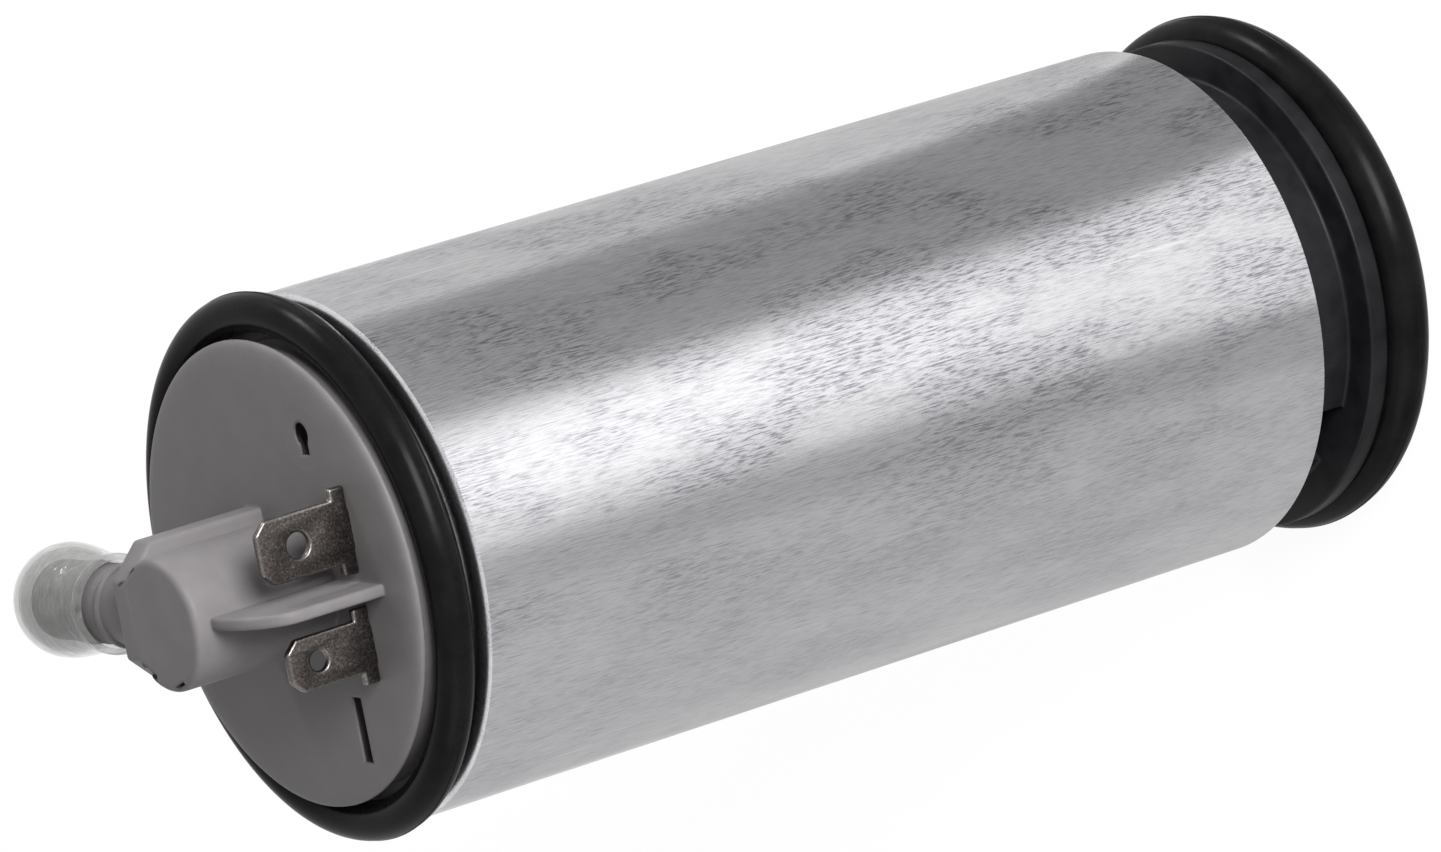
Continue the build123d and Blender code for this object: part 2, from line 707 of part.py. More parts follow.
# Outlet cover: one grey moulding with disc, skirt, boss, plate, nipple, fin and guides
with BuildPart() as outlet_cover:
    with BuildSketch(Plane.XZ):
        with BuildLine():
            Polyline(
                (0, cover_floor_z),
                (cover_inner_r, cover_floor_z),
                (cover_inner_r, cover_shoulder_z - cover_skirt_wall),
                (skirt_inner_r, cover_shoulder_z - cover_skirt_wall),
                (skirt_inner_r, skirt_z),
                (seated_r, skirt_z),
                (seated_r, cover_gasket_z),
                (gasket_seat_r, cover_gasket_z),
                (gasket_seat_r, cover_gasket_z + gasket_seat_height),
                (seated_r, cover_gasket_z + gasket_seat_height),
                (seated_r, cover_shoulder_z),
                (cover_neck_r, cover_shoulder_z),
                (cover_neck_r, cover_z - cover_rim_height),
                (cover_disc_r, cover_z - cover_edge_height),
                (cover_disc_r, cover_z),
                (0, cover_z),
                close=True,
            )
        make_face()
    revolve(axis=Axis.Z)
    fillet(outlet_cover.edges().group_by(Axis.Z)[-1], cover_edge_round)

    # Boss over the check valve, and the valve tube under the disc
    with BuildSketch(Plane.XY.offset(cover_z)):
        with Locations((boss_x, outlet_y)):
            Circle(boss_r)
    extrude(amount=boss_top_z - cover_z)
    fillet(outlet_cover.edges().group_by(Axis.Z)[-1], boss_round)
    with BuildSketch(Plane.XY.offset(valve_seat_z)):
        with Locations((boss_x, outlet_y)):
            Circle(boss_r)
    extrude(amount=valve_tube_drop)

    # Plate at the root of the nipple, with its two upper corners cut off
    with BuildSketch(Plane.YZ.offset(plate_back_x)):
        with BuildLine():
            Polyline(
                (plate_y - plate_width / 2, cover_z),
                (plate_y + plate_width / 2, cover_z),
                (plate_y + plate_width / 2, boss_top_z - plate_chamfer_height),
                (plate_y + plate_top_width / 2, boss_top_z),
                (plate_y - plate_top_width / 2, boss_top_z),
                (plate_y - plate_width / 2, boss_top_z - plate_chamfer_height),
                close=True,
            )
        make_face()
    extrude(amount=plate_thickness)

    # Nipple with a stop bead and a low barb
    with BuildSketch(nipple_plane):
        with BuildLine():
            Polyline(
                (boss_x, 0),
                (boss_x, nipple_r),
                (nipple_bead_x, nipple_r),
                (nipple_bead_x, nipple_bead_r),
                (nipple_bead_x - nipple_bead_width, nipple_bead_r),
                (nipple_bead_x - nipple_bead_width, nipple_r),
                (barb_x, nipple_r),
                (barb_x, barb_r),
                (barb_x - barb_length, nipple_r),
                (nipple_end_x + nipple_end_chamfer, nipple_r),
                (nipple_end_x, nipple_r - nipple_end_chamfer),
                (nipple_end_x, 0),
                close=True,
            )
        make_face()
    revolve(axis=nipple_axis)

    # Fin that keeps the two terminals apart, with a rounded free corner
    with BuildSketch(Plane.XZ.offset(-fin_y)):
        with BuildLine():
            corner = EllipticalCenterArc(
                (fin_curve_x, cover_z + fin_height - fin_curve_height),
                fin_curve_length,
                fin_curve_height,
                start_angle=0,
                arc_size=90,
            )
            Polyline(
                corner @ 1,
                (boss_x, cover_z + fin_height),
                (boss_x, cover_z),
                (fin_reach_x, cover_z),
                corner @ 0,
            )
        make_face()
    extrude(amount=fin_thickness / 2, both=True)

    # Brush guides, the bearing bridge between them and the relief valve tube
    with BuildSketch(Plane.XY.offset(guide_z)):
        with PolarLocations(brush_pitch_r, 2, start_angle=90):
            Rectangle(guide_outer_size, guide_outer_size)
    extrude(amount=cover_floor_z - guide_z)
    with BuildSketch(Plane.XY.offset(guide_z)):
        Rectangle(2 * (bearing_r + guide_wall), 2 * (brush_pitch_r - guide_size / 2))
    extrude(amount=bridge_top_z - guide_z)
    with BuildSketch(Plane.XY.offset(relief_seat_z)):
        with Locations((keyhole_x, keyhole_y)):
            Circle(relief_tube_r)
    extrude(amount=relief_tube_drop)

    # Hollows: brush guides, bearing seat, shaft end, valve bores
    with BuildSketch(Plane.XY.offset(guide_z)):
        with PolarLocations(brush_pitch_r, 2, start_angle=90):
            Rectangle(guide_size, guide_size)
    extrude(amount=guide_top_z - guide_z, mode=Mode.SUBTRACT)
    with BuildSketch(Plane.XY.offset(guide_z)):
        with Locations((guide_outer_size / 2, brush_pitch_r), (guide_outer_size / 2, -brush_pitch_r)):
            Rectangle(2 * guide_wall, lead_slot_width)
    extrude(amount=lead_z + lead_d + brush_lift - guide_z, mode=Mode.SUBTRACT)
    with BuildSketch(Plane.XY.offset(guide_z)):
        Circle(bearing_r + press_gap)
    extrude(amount=bearing_length, mode=Mode.SUBTRACT)
    with BuildSketch(Plane.XY.offset(bearing_top_z)):
        Circle(shaft_r + touch_gap)
    extrude(amount=shaft_top_clearance + touch_gap, mode=Mode.SUBTRACT)
    with BuildSketch(Plane.XY.offset(valve_seat_z)):
        with Locations((boss_x, outlet_y)):
            Circle(valve_bore_r)
    extrude(amount=boss_top_z - boss_wall - valve_seat_z, mode=Mode.SUBTRACT)
    with BuildSketch(Plane.YZ.offset(nipple_end_x)):
        with Locations((outlet_y, nipple_axis_z)):
            Circle(nipple_bore_r)
    extrude(amount=boss_x - nipple_end_x, mode=Mode.SUBTRACT)
    with BuildSketch(Plane.XY.offset(relief_seat_z)):
        with Locations((keyhole_x, keyhole_y)):
            Circle(relief_bore_r)
    extrude(amount=relief_tube_drop, mode=Mode.SUBTRACT)

    # Openings in the disc: keyhole, terminal slots and the blind slot
    with BuildSketch(Plane.XY.offset(cover_floor_z)):
        with Locations((keyhole_x, keyhole_y)):
            Circle(keyhole_d / 2)
            Rectangle(key_notch_width, key_notch_reach, align=(Align.CENTER, Align.MAX))
        for blade in (large_blade, small_blade):
            with Locations((blade_x, blade["y"])):
                Rectangle(blade_thickness + 2 * press_gap, leg_width + 2 * press_gap)
    extrude(amount=cover_floor, mode=Mode.SUBTRACT)
    with BuildSketch(Plane.XY.offset(cover_z)):
        with Locations((blind_slot_x, blind_slot_y)):
            Rectangle(blind_slot_width, blind_slot_length)
    extrude(amount=-blind_slot_depth, mode=Mode.SUBTRACT)
outlet_cover.part.label = "outlet_cover"
export_step(outlet_cover.part, "parts/outlet_cover.step")

# Blade terminals, standing on the disc, each with its own choke hanging below
for side, blade in {"large": large_blade, "small": small_blade}.items():
    with BuildPart() as terminal:
        with BuildSketch(Plane.YZ.offset(blade_x - blade_thickness / 2)) as blade_outline:
            with Locations((blade["y"], cover_z)):
                Rectangle(blade["width"], blade["height"], align=(Align.CENTER, Align.MIN))
            chamfer(blade_outline.vertices().group_by(Axis.Y)[-1], blade_chamfer)
            with Locations((blade["y"], cover_z)):
                Rectangle(
                    blade["width"] + 2 * shoulder_margin, shoulder_rise, align=(Align.CENTER, Align.MIN)
                )
                Rectangle(leg_width, cover_floor + leg_depth, align=(Align.CENTER, Align.MAX))
            with Locations((blade["y"], cover_z + blade["hole_z"])):
                Circle(blade["hole_d"] / 2, mode=Mode.SUBTRACT)
        extrude(amount=blade_thickness)
    terminal.part.label = f"terminal_{side}"
    export_step(terminal.part, f"parts/terminal_{side}.step")

    with BuildPart() as choke_core:
        with BuildSketch(Plane.XY.offset(choke_z)):
            with Locations((blade_x, blade["y"])):
                Circle(choke_core_d / 2)
        extrude(amount=choke_length)
    choke_core.part.label = f"choke_core_{side}"
    export_step(choke_core.part, f"parts/choke_core_{side}.step")

    choke_path = quarter_turns(
        choke_coil_r, choke_wire_d, choke_turns, choke_coil_height, blade_x, blade["y"], choke_coil_z
    )
    with BuildPart() as choke_coil:
        with BuildSketch(Plane(origin=choke_path @ 0, z_dir=choke_path % 0)):
            Circle(choke_wire_d / 2)
        sweep(path=choke_path)
    choke_coil.part.label = f"choke_coil_{side}"
    export_step(choke_coil.part, f"parts/choke_coil_{side}.step")

# Brushes with their springs and leads
lead_end_z = choke_coil_z + choke_coil_height / choke_turns / 2
lead_end_x = blade_x - choke_coil_r - choke_wire_d / 2 - seat_gap
brush_spring_r = (brush_spring_d - spring_wire_d) / 2
brush_spring_z = brush_top_z + spring_wire_d / 2 + seat_gap
brush_spring_height = guide_top_z - brush_top_z - spring_wire_d - 2 * seat_gap
for side, y, blade in (("positive", brush_pitch_r, large_blade), ("negative", -brush_pitch_r, small_blade)):
    with BuildPart() as brush:
        with BuildSketch(Plane.XY.offset(brush_z)):
            with Locations((0, y)):
                Rectangle(brush_size, brush_size)
        extrude(amount=brush_length)
    brush.part.label = f"brush_{side}"
    export_step(brush.part, f"parts/brush_{side}.step")

    brush_spring_path = quarter_turns(
        brush_spring_r, spring_wire_d, brush_spring_turns, brush_spring_height, 0, y, brush_spring_z
    )
    with BuildPart() as brush_spring:
        with BuildSketch(Plane(origin=brush_spring_path @ 0, z_dir=brush_spring_path % 0)):
            Circle(spring_wire_d / 2)
        sweep(path=brush_spring_path)
    brush_spring.part.label = f"brush_spring_{side}"
    export_step(brush_spring.part, f"parts/brush_spring_{side}.step")

    with BuildPart() as brush_lead:
        with BuildLine() as lead_route:
            FilletPolyline(
                (brush_size / 2 + press_gap, y, lead_z),
                (brush_size / 2 + lead_straight, y, lead_z),
                (lead_end_x - lead_straight / 2, blade["y"], lead_end_z),
                (lead_end_x, blade["y"], lead_end_z),
                radius=lead_bend_r,
            )
        with BuildSketch(Plane(origin=lead_route.line @ 0, z_dir=lead_route.line % 0)):
            Circle(lead_d / 2)
        sweep(path=lead_route.line)
    brush_lead.part.label = f"brush_lead_{side}"
    export_step(brush_lead.part, f"parts/brush_lead_{side}.step")

# Check valve: seat ring, poppet with its stem, guide and spring
with BuildPart() as check_valve_seat:
    with BuildSketch(Plane.XY.offset(valve_seat_z)):
        with Locations((boss_x, outlet_y)):
            Circle(valve_bore_r - seat_gap)
            Circle(valve_seat_bore_d / 2, mode=Mode.SUBTRACT)
    extrude(amount=valve_seat_height)
check_valve_seat.part.label = "check_valve_seat"
export_step(check_valve_seat.part, "parts/check_valve_seat.step")

with BuildPart() as check_valve_guide:
    with BuildSketch(Plane.XY.offset(guide_disc_z)):
        with Locations((boss_x, outlet_y)):
            Circle(valve_bore_r - seat_gap)
            Circle(valve_bore_r - seat_gap - valve_guide_rim, mode=Mode.SUBTRACT)
            Circle(valve_guide_hub_d / 2)
            with PolarLocations(0, valve_guide_spokes):
                Rectangle(
                    valve_bore_r - valve_guide_rim,
                    valve_guide_spoke_width,
                    align=(Align.MIN, Align.CENTER),
                )
            Circle(poppet_stem_d / 2 + slide_gap, mode=Mode.SUBTRACT)
    extrude(amount=valve_guide_height)
check_valve_guide.part.label = "check_valve_guide"
export_step(check_valve_guide.part, "parts/check_valve_guide.step")

poppet_head_z = poppet_z + press_gap
poppet_head_top_z = poppet_head_z + poppet_head_height
poppet_top_z = guide_disc_z + valve_guide_height + edge_break
with BuildPart() as check_valve_poppet:
    with BuildSketch(valve_plane):
        with BuildLine():
            Polyline(
                (0, poppet_head_z - poppet_cone),
                (valve_seat_bore_d / 2 - touch_gap - poppet_cone, poppet_head_z - poppet_cone),
                (valve_seat_bore_d / 2 - touch_gap, poppet_head_z),
                (poppet_head_r, poppet_head_z),
                (poppet_head_r, poppet_head_top_z),
                (poppet_stem_d / 2, poppet_head_top_z),
                (poppet_stem_d / 2, poppet_top_z),
                (0, poppet_top_z),
                close=True,
            )
        make_face()
    revolve(axis=valve_axis)
check_valve_poppet.part.label = "check_valve_poppet"
export_step(check_valve_poppet.part, "parts/check_valve_poppet.step")

valve_spring_path = quarter_turns(
    (valve_spring_d - spring_wire_d) / 2,
    spring_wire_d,
    valve_spring_turns,
    guide_disc_z - poppet_head_top_z - spring_wire_d - 2 * seat_gap,
    boss_x,
    outlet_y,
    poppet_head_top_z + spring_wire_d / 2 + seat_gap,
)
with BuildPart() as check_valve_spring:
    with BuildSketch(Plane(origin=valve_spring_path @ 0, z_dir=valve_spring_path % 0)):
        Circle(spring_wire_d / 2)
    sweep(path=valve_spring_path)
check_valve_spring.part.label = "check_valve_spring"
export_step(check_valve_spring.part, "parts/check_valve_spring.step")

# Relief valve: seat ring, ball and spring in the tube under the keyhole
with BuildPart() as relief_valve_seat:
    with BuildSketch(Plane.XY.offset(relief_seat_z)):
        with Locations((keyhole_x, keyhole_y)):
            Circle(relief_bore_r - seat_gap)
            Circle(relief_seat_bore_d / 2, mode=Mode.SUBTRACT)
    extrude(amount=relief_seat_height)
relief_valve_seat.part.label = "relief_valve_seat"
export_step(relief_valve_seat.part, "parts/relief_valve_seat.step")

# The ball sinks into the seat bore until it meets the bore's edge
ball_r = relief_bore_r - relief_ball_gap
ball_z = relief_seat_z + relief_seat_height + sqrt(ball_r**2 - (relief_seat_bore_d / 2) ** 2) + slide_gap
with BuildPart() as relief_valve_ball:
    with Locations((keyhole_x, keyhole_y, ball_z)):
        Sphere(ball_r)
relief_valve_ball.part.label = "relief_valve_ball"
export_step(relief_valve_ball.part, "parts/relief_valve_ball.step")

# The lowest turn of the relief spring sits on the ball's shoulder
relief_spring_r = relief_bore_r - slide_gap - spring_wire_d / 2
relief_spring_z = ball_z + sqrt((ball_r + spring_wire_d / 2 + slide_gap) ** 2 - relief_spring_r**2)
relief_spring_path = quarter_turns(
    relief_spring_r,
    spring_wire_d,
    relief_spring_turns,
    cover_floor_z - relief_spring_z - spring_wire_d / 2 - seat_gap,
    keyhole_x,
    keyhole_y,
    relief_spring_z,
)
with BuildPart() as relief_valve_spring:
    with BuildSketch(Plane(origin=relief_spring_path @ 0, z_dir=relief_spring_path % 0)):
        Circle(spring_wire_d / 2)
    sweep(path=relief_spring_path)
relief_valve_spring.part.label = "relief_valve_spring"
export_step(relief_valve_spring.part, "parts/relief_valve_spring.step")

# Dust cap: a thin clear shell with a rim, a neck and a round bulb, pushed over the nipple
with BuildPart() as outlet_dust_cap:
    with BuildSketch(nipple_plane):
        with BuildLine():
            Polyline(
                (cap_rim_x, cap_inner_r),
                (cap_rim_x, cap_rim_r),
                (cap_rim_x - cap_rim_width, cap_rim_r),
                (cap_rim_x - cap_rim_width, cap_neck_r),
                (cap_neck_end_x, cap_neck_r),
            )
            Spline(
                (cap_neck_end_x, cap_neck_r),
                (cap_bulb_x, cap_bulb_r),
                tangents=((-1, 0), (-1, 0)),
            )
            CenterArc((cap_bulb_x, 0), cap_bulb_r, 90, 90)
            Line((cap_bulb_x - cap_bulb_r, 0), (cap_bulb_x - cap_bulb_r + cap_wall, 0))
            CenterArc((cap_bulb_x, 0), cap_bulb_r - cap_wall, 90, 90)
            Spline(
                (cap_bulb_x, cap_bulb_r - cap_wall),
                (cap_neck_end_x, cap_inner_r),
                tangents=((1, 0), (1, 0)),
            )
            Line((cap_neck_end_x, cap_inner_r), (cap_rim_x, cap_inner_r))
        make_face()
    revolve(axis=nipple_axis)
outlet_dust_cap.part.label = "outlet_dust_cap"
export_step(outlet_dust_cap.part, "parts/outlet_dust_cap.step")
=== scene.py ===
import json
from math import cos, hypot, pi, radians, sin

import bmesh
import bpy
from mathutils import Matrix, Vector


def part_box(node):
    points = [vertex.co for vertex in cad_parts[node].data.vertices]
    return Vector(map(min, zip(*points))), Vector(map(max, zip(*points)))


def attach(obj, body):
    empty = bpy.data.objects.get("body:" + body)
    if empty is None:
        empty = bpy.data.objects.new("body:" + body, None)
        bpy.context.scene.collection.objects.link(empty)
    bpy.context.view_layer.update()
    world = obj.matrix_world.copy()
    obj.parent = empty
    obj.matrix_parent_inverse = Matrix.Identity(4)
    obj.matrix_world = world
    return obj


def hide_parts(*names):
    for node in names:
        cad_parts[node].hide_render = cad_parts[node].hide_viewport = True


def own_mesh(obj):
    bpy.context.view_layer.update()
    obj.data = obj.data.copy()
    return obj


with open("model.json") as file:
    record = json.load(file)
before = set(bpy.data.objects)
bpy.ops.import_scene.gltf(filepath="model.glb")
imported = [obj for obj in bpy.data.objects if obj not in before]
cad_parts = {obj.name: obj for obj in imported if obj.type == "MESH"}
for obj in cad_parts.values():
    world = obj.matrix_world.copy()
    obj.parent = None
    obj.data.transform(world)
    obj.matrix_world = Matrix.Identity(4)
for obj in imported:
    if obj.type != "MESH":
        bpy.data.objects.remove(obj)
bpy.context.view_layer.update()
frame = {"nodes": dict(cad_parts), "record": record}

# Lengths are in millimetres and are turned into metres where a mesh is made. The studio is in metres.
MM = 0.001

# A corner is picked by its place, within this many millimetres.
NEAR = 0.02

# Points closer together than this are welded into one.
WELD = MM * 0.001

# Steps of the lathe for a full turn, and the angles of a drawn quarter turn
STEPS = 192
QUARTER = [radians(angle) for angle in range(0, 91, 6)]

# Faces that meet at less than this angle are shaded as one.
SMOOTH_ANGLE = radians(35)

# Heights along the pump, from the flat inlet end up
socket_z = 4.0
ledge_z = 5.6
flange_z = 6.4
neck_z = 8.6
can_z = 15.4
can_floor_z = 16.9
can_roof_z = 117.4
can_top_z = 118.9
disc_z = 124.5
nipple_z = 135.2
boss_top_z = 140.6

# The solids on the disc start inside it, and what cuts into it ends above it.
root_z = 123.0
over_disc_z = 125.0

# Radii
can_r = 26.5
lip_r = 22.7
plug_r = 24.95
neck_r = 22.15
disc_r = 23.25

# The outlet group stands a little off the pump's middle plane.
outlet_y = -0.6
boss_x = 3.25
boss_r = 6.6


# Working by hand: selecting, drawing, cutting

def select_none():
    """Leaves edit mode and deselects everything."""
    if bpy.context.object and bpy.context.object.mode != "OBJECT":
        bpy.ops.object.mode_set(mode="OBJECT")
    bpy.ops.object.select_all(action="DESELECT")


def take(piece):
    """Makes the piece the only selected and active object."""
    select_none()
    piece.select_set(True)
    bpy.context.view_layer.objects.active = piece


def open_mesh(piece, kind="VERT"):
    """Opens the piece in edit mode with nothing picked."""
    take(piece)
    bpy.ops.object.mode_set(mode="EDIT")
    bpy.ops.mesh.select_mode(type=kind)
    bpy.ops.mesh.select_all(action="DESELECT")


def close_mesh():
    """Goes back from edit mode."""
    bpy.ops.object.mode_set(mode="OBJECT")


def pick_edges(piece, test):
    """Picks the edges whose two ends both pass the test, which gets a point in millimetres."""
    mesh = bmesh.from_edit_mesh(piece.data)
    for edge in mesh.edges:
        edge.select_set(all(test(*(vert.co / MM)) for vert in edge.verts))
    bmesh.update_edit_mesh(piece.data)


def name_new(name):
    """Names the object that was just added and puts its place and size into its mesh."""
    piece = bpy.context.object
    piece.name = name
    piece.data.name = name
    bpy.ops.object.transform_apply(location=True, rotation=True, scale=True)
    return piece


def draw_line(name, points):
    """A line drawn point by point, left open in edit mode. The points are in metres."""
    select_none()
    bpy.ops.mesh.primitive_plane_add(size=MM, location=points[0])
    piece = name_new(name)
    bpy.ops.object.mode_set(mode="EDIT")
    bpy.ops.mesh.select_mode(type="VERT")
    bpy.ops.mesh.select_all(action="SELECT")
    bpy.ops.mesh.merge(type="CENTER")
    for here, there in zip(points, points[1:]):
        bpy.ops.mesh.extrude_vertices_move(TRANSFORM_OT_translate={"value": there - here})
    bpy.ops.mesh.select_all(action="SELECT")
    return piece


def turned(name, section, axis="Z", centre=(0, 0, 0), steps=STEPS):
    """A piece from the lathe: its half section is drawn point by point and spun round the axis.

    Each point is (radius, place along the axis)."""
    along = {"X": Vector((1, 0, 0)), "Z": Vector((0, 0, 1))}[axis]
    out = {"X": Vector((0, 0, 1)), "Z": Vector((1, 0, 0))}[axis]
    middle = Vector(centre) * MM
    points = [middle + (out * radius + along * place) * MM for radius, place in section]
    piece = draw_line(name, points)
    bpy.ops.mesh.spin(steps=steps, angle=2 * pi, center=middle, axis=along)
    bpy.ops.mesh.select_all(action="SELECT")
    bpy.ops.mesh.remove_doubles(threshold=WELD)
    bpy.ops.mesh.normals_make_consistent(inside=False)
    close_mesh()
    return piece


def flat_part(name, outline, thickness):
    """A flat part: the outline is drawn point by point, filled, and drawn out to its thickness."""
    points = [Vector(point) * MM for point in outline]
    piece = draw_line(name, points + points[:1])
    bpy.ops.mesh.remove_doubles(threshold=WELD)
    bpy.ops.mesh.edge_face_add()
    bpy.ops.mesh.extrude_region_move(TRANSFORM_OT_translate={"value": Vector(thickness) * MM})
    bpy.ops.mesh.select_all(action="SELECT")
    bpy.ops.mesh.normals_make_consistent(inside=False)
    close_mesh()
    return piece


def block(name, low, high):
    """A block between two corners."""
    select_none()
    low, high = Vector(low), Vector(high)
    bpy.ops.mesh.primitive_cube_add(size=MM, location=(low + high) / 2 * MM, scale=high - low)
    return name_new(name)


def post(name, radius, low, high, x=0.0, y=0.0, vertices=96):
    """An upright cylinder between two heights."""
    select_none()
    bpy.ops.mesh.primitive_cylinder_add(
        vertices=vertices, radius=radius * MM, depth=(high - low) * MM,
        location=(x * MM, y * MM, (low + high) / 2 * MM),
    )
    return name_new(name)


def turn_about_z(piece, angle, shift=(0, 0)):
    """Turns the piece round Z by so many degrees, then moves it sideways."""
    take(piece)
    piece.rotation_euler.z = radians(angle)
    piece.location = (shift[0] * MM, shift[1] * MM, 0)
    bpy.ops.object.transform_apply(location=True, rotation=True)


def round_edges(piece, test, size, segments):
    """Rounds the edges whose two ends both pass the test."""
    open_mesh(piece, "EDGE")
    pick_edges(piece, test)
    bpy.ops.mesh.bevel(offset=size * MM, segments=segments, affect="EDGES")
    close_mesh()


def round_ring(piece, radius, place, size, segments):
    """Rounds the corner of a piece turned round Z where it has this radius and height."""
    def corner(x, y, z):
        return abs(hypot(x, y) - radius) < NEAR and abs(z - place) < NEAR
    round_edges(piece, corner, size, segments)


def round_along_x(piece, radius, place, size, segments):
    """Rounds the corner of a piece turned round the nipple's axis."""
    def corner(x, y, z):
        return abs(hypot(y - outlet_y, z - nipple_z) - radius) < NEAR and abs(x - place) < NEAR
    round_edges(piece, corner, size, segments)


def apply_all(piece):
    """Applies the piece's modifiers to its mesh."""
    take(piece)
    for modifier in list(piece.modifiers):
        bpy.ops.object.modifier_apply(modifier=modifier.name)


def combine(piece, other, how):
    """Joins the other solid to the piece, or cuts it out, and throws the other one away."""
    modifier = piece.modifiers.new("shape", "BOOLEAN")
    modifier.operation = how
    modifier.solver = "EXACT"
    modifier.object = other
    apply_all(piece)
    bpy.data.objects.remove(other, do_unlink=True)


def add_solid(piece, other):
    """Joins the other solid to the piece."""
    combine(piece, other, "UNION")


def cut_out(piece, other):
    """Cuts the other solid out of the piece."""
    combine(piece, other, "DIFFERENCE")


def ease_edges(piece, size, segments=2, angle=40):
    """Rounds every edge that turns by more than the angle."""
    modifier = piece.modifiers.new("ease", "BEVEL")
    modifier.width = size * MM
    modifier.segments = segments
    modifier.limit_method = "ANGLE"
    modifier.angle_limit = radians(angle)
    modifier.use_clamp_overlap = True
    apply_all(piece)


def hand_over(piece, finish, body, slot, *nodes):
    """Gives the piece its finish and its body, and hides the nodes that it stands for. The slot is not
    used.
    """
    take(piece)
    bpy.ops.object.shade_smooth_by_angle(angle=SMOOTH_ANGLE)
    piece.data.materials.clear()
    piece.data.materials.append(finish)
    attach(piece, body)
    if nodes:
        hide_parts(*nodes)


# Finishes

# Nearly all of a noise lies in the wide range, and more than half of it in the middle one.
WIDE = (0.3, 0.7)
MIDDLE = (0.35, 0.65)

# Sockets of the Mix node that stand for colours
MIX_AMOUNT, MIX_ONE, MIX_TWO, MIX_RESULT = 0, 6, 7, 2


def empty_material(name):
    """A new material with nothing but its output."""
    material = bpy.data.materials.new(name)
    material.use_nodes = True
    tree = material.node_tree
    tree.nodes.clear()
    return material, tree, tree.nodes.new("ShaderNodeOutputMaterial")


class Finish:
    """A material whose nodes are added one after the other."""

    def __init__(self, name):
        self.material, self.tree, output = empty_material(name)
        self.shader = self.tree.nodes.new("ShaderNodeBsdfPrincipled")
        self.link(self.shader.outputs["BSDF"], output.inputs["Surface"])
        self.place = self.tree.nodes.new("ShaderNodeTexCoord").outputs["Object"]

    def link(self, source, target):
        self.tree.links.new(source, target)

    def set(self, **values):
        """Constants on the shader's own sockets, with _ for a space."""
        for key, value in values.items():
            self.shader.inputs[key.replace("_", " ")].default_value = value

    def grain(self, size, stretch=(1, 1, 1), detail=3.0, roughness=0.55):
        """Noise whose features are about this size in millimetres, longer where stretch is larger."""
        mapping = self.tree.nodes.new("ShaderNodeMapping")
        mapping.inputs["Scale"].default_value = [1 / (size * MM * part) for part in stretch]
        self.link(self.place, mapping.inputs["Vector"])
        noise = self.tree.nodes.new("ShaderNodeTexNoise")
        noise.inputs["Scale"].default_value = 1.0
        noise.inputs["Detail"].default_value = detail
        noise.inputs["Roughness"].default_value = roughness
        self.link(mapping.outputs["Vector"], noise.inputs["Vector"])
        return noise.outputs["Fac"]

    def across(self, axis):
        """The place along one axis, in metres."""
        parts = self.tree.nodes.new("ShaderNodeSeparateXYZ")
        self.link(self.place, parts.inputs["Vector"])
        return parts.outputs[axis]

    def steps(self, value, *stops):
        """Colours by value: stops are (place, colour)."""
        ramp = self.tree.nodes.new("ShaderNodeValToRGB")
        elements = ramp.color_ramp.elements
        while len(elements) < len(stops):
            elements.new(0.5)
        for element, (place, colour) in zip(elements, stops):
            element.position = place
            element.color = (*colour, 1)
        self.link(value, ramp.inputs["Fac"])
        return ramp.outputs["Color"]

    def span(self, value, given, wanted):
        """Maps a value from the given range to the wanted one, held at the ends."""
        spread = self.tree.nodes.new("ShaderNodeMapRange")
        for key, number in zip(("From Min", "From Max", "To Min", "To Max"), (*given, *wanted)):
            spread.inputs[key].default_value = number
        self.link(value, spread.inputs["Value"])
        return spread.outputs["Result"]

    def product(self, one, two):
        """Two values multiplied."""
        node = self.tree.nodes.new("ShaderNodeMath")
        node.operation = "MULTIPLY"
        self.link(one, node.inputs[0])
        self.link(two, node.inputs[1])
        return node.outputs["Value"]

    def mix(self, amount, under, over):
        """Mixes a plain colour over a coloured socket, as much as the amount says."""
        node = self.tree.nodes.new("ShaderNodeMix")
        node.data_type = "RGBA"
        self.link(amount, node.inputs[MIX_AMOUNT])
        self.link(under, node.inputs[MIX_ONE])
        node.inputs[MIX_TWO].default_value = (*over, 1)
        return node.outputs[MIX_RESULT]

    def soft_normal(self, size):
        """The normal with every edge eased by this many millimetres, hollow corners too."""
        bevel = self.tree.nodes.new("ShaderNodeBevel")
        bevel.samples = 6
        bevel.inputs["Radius"].default_value = size * MM
        return bevel.outputs["Normal"]

    def edges(self, size):
        """1 along edges and 0 on flats."""
        geometry = self.tree.nodes.new("ShaderNodeNewGeometry")
        dot = self.tree.nodes.new("ShaderNodeVectorMath")
        dot.operation = "DOT_PRODUCT"
        self.link(self.soft_normal(size), dot.inputs[0])
        self.link(geometry.outputs["Normal"], dot.inputs[1])
        turned_away = 1.0 - 1.0 / 6.0
        return self.span(dot.outputs["Value"], (1.0, turned_away), (0.0, 1.0))

    def relief(self, value, height, normal=None):
        """A bump whose height is in millimetres."""
        bump = self.tree.nodes.new("ShaderNodeBump")
        bump.inputs["Strength"].default_value = 1.0
        bump.inputs["Distance"].default_value = height * MM
        self.link(value, bump.inputs["Height"])
        if normal:
            self.link(normal, bump.inputs["Normal"])
        return bump.outputs["Normal"]

    def colour(self, socket):
        self.link(socket, self.shader.inputs["Base Color"])

    def gloss(self, socket):
        self.link(socket, self.shader.inputs["Roughness"])

    def bumped(self, socket):
        self.link(socket, self.shader.inputs["Normal"])


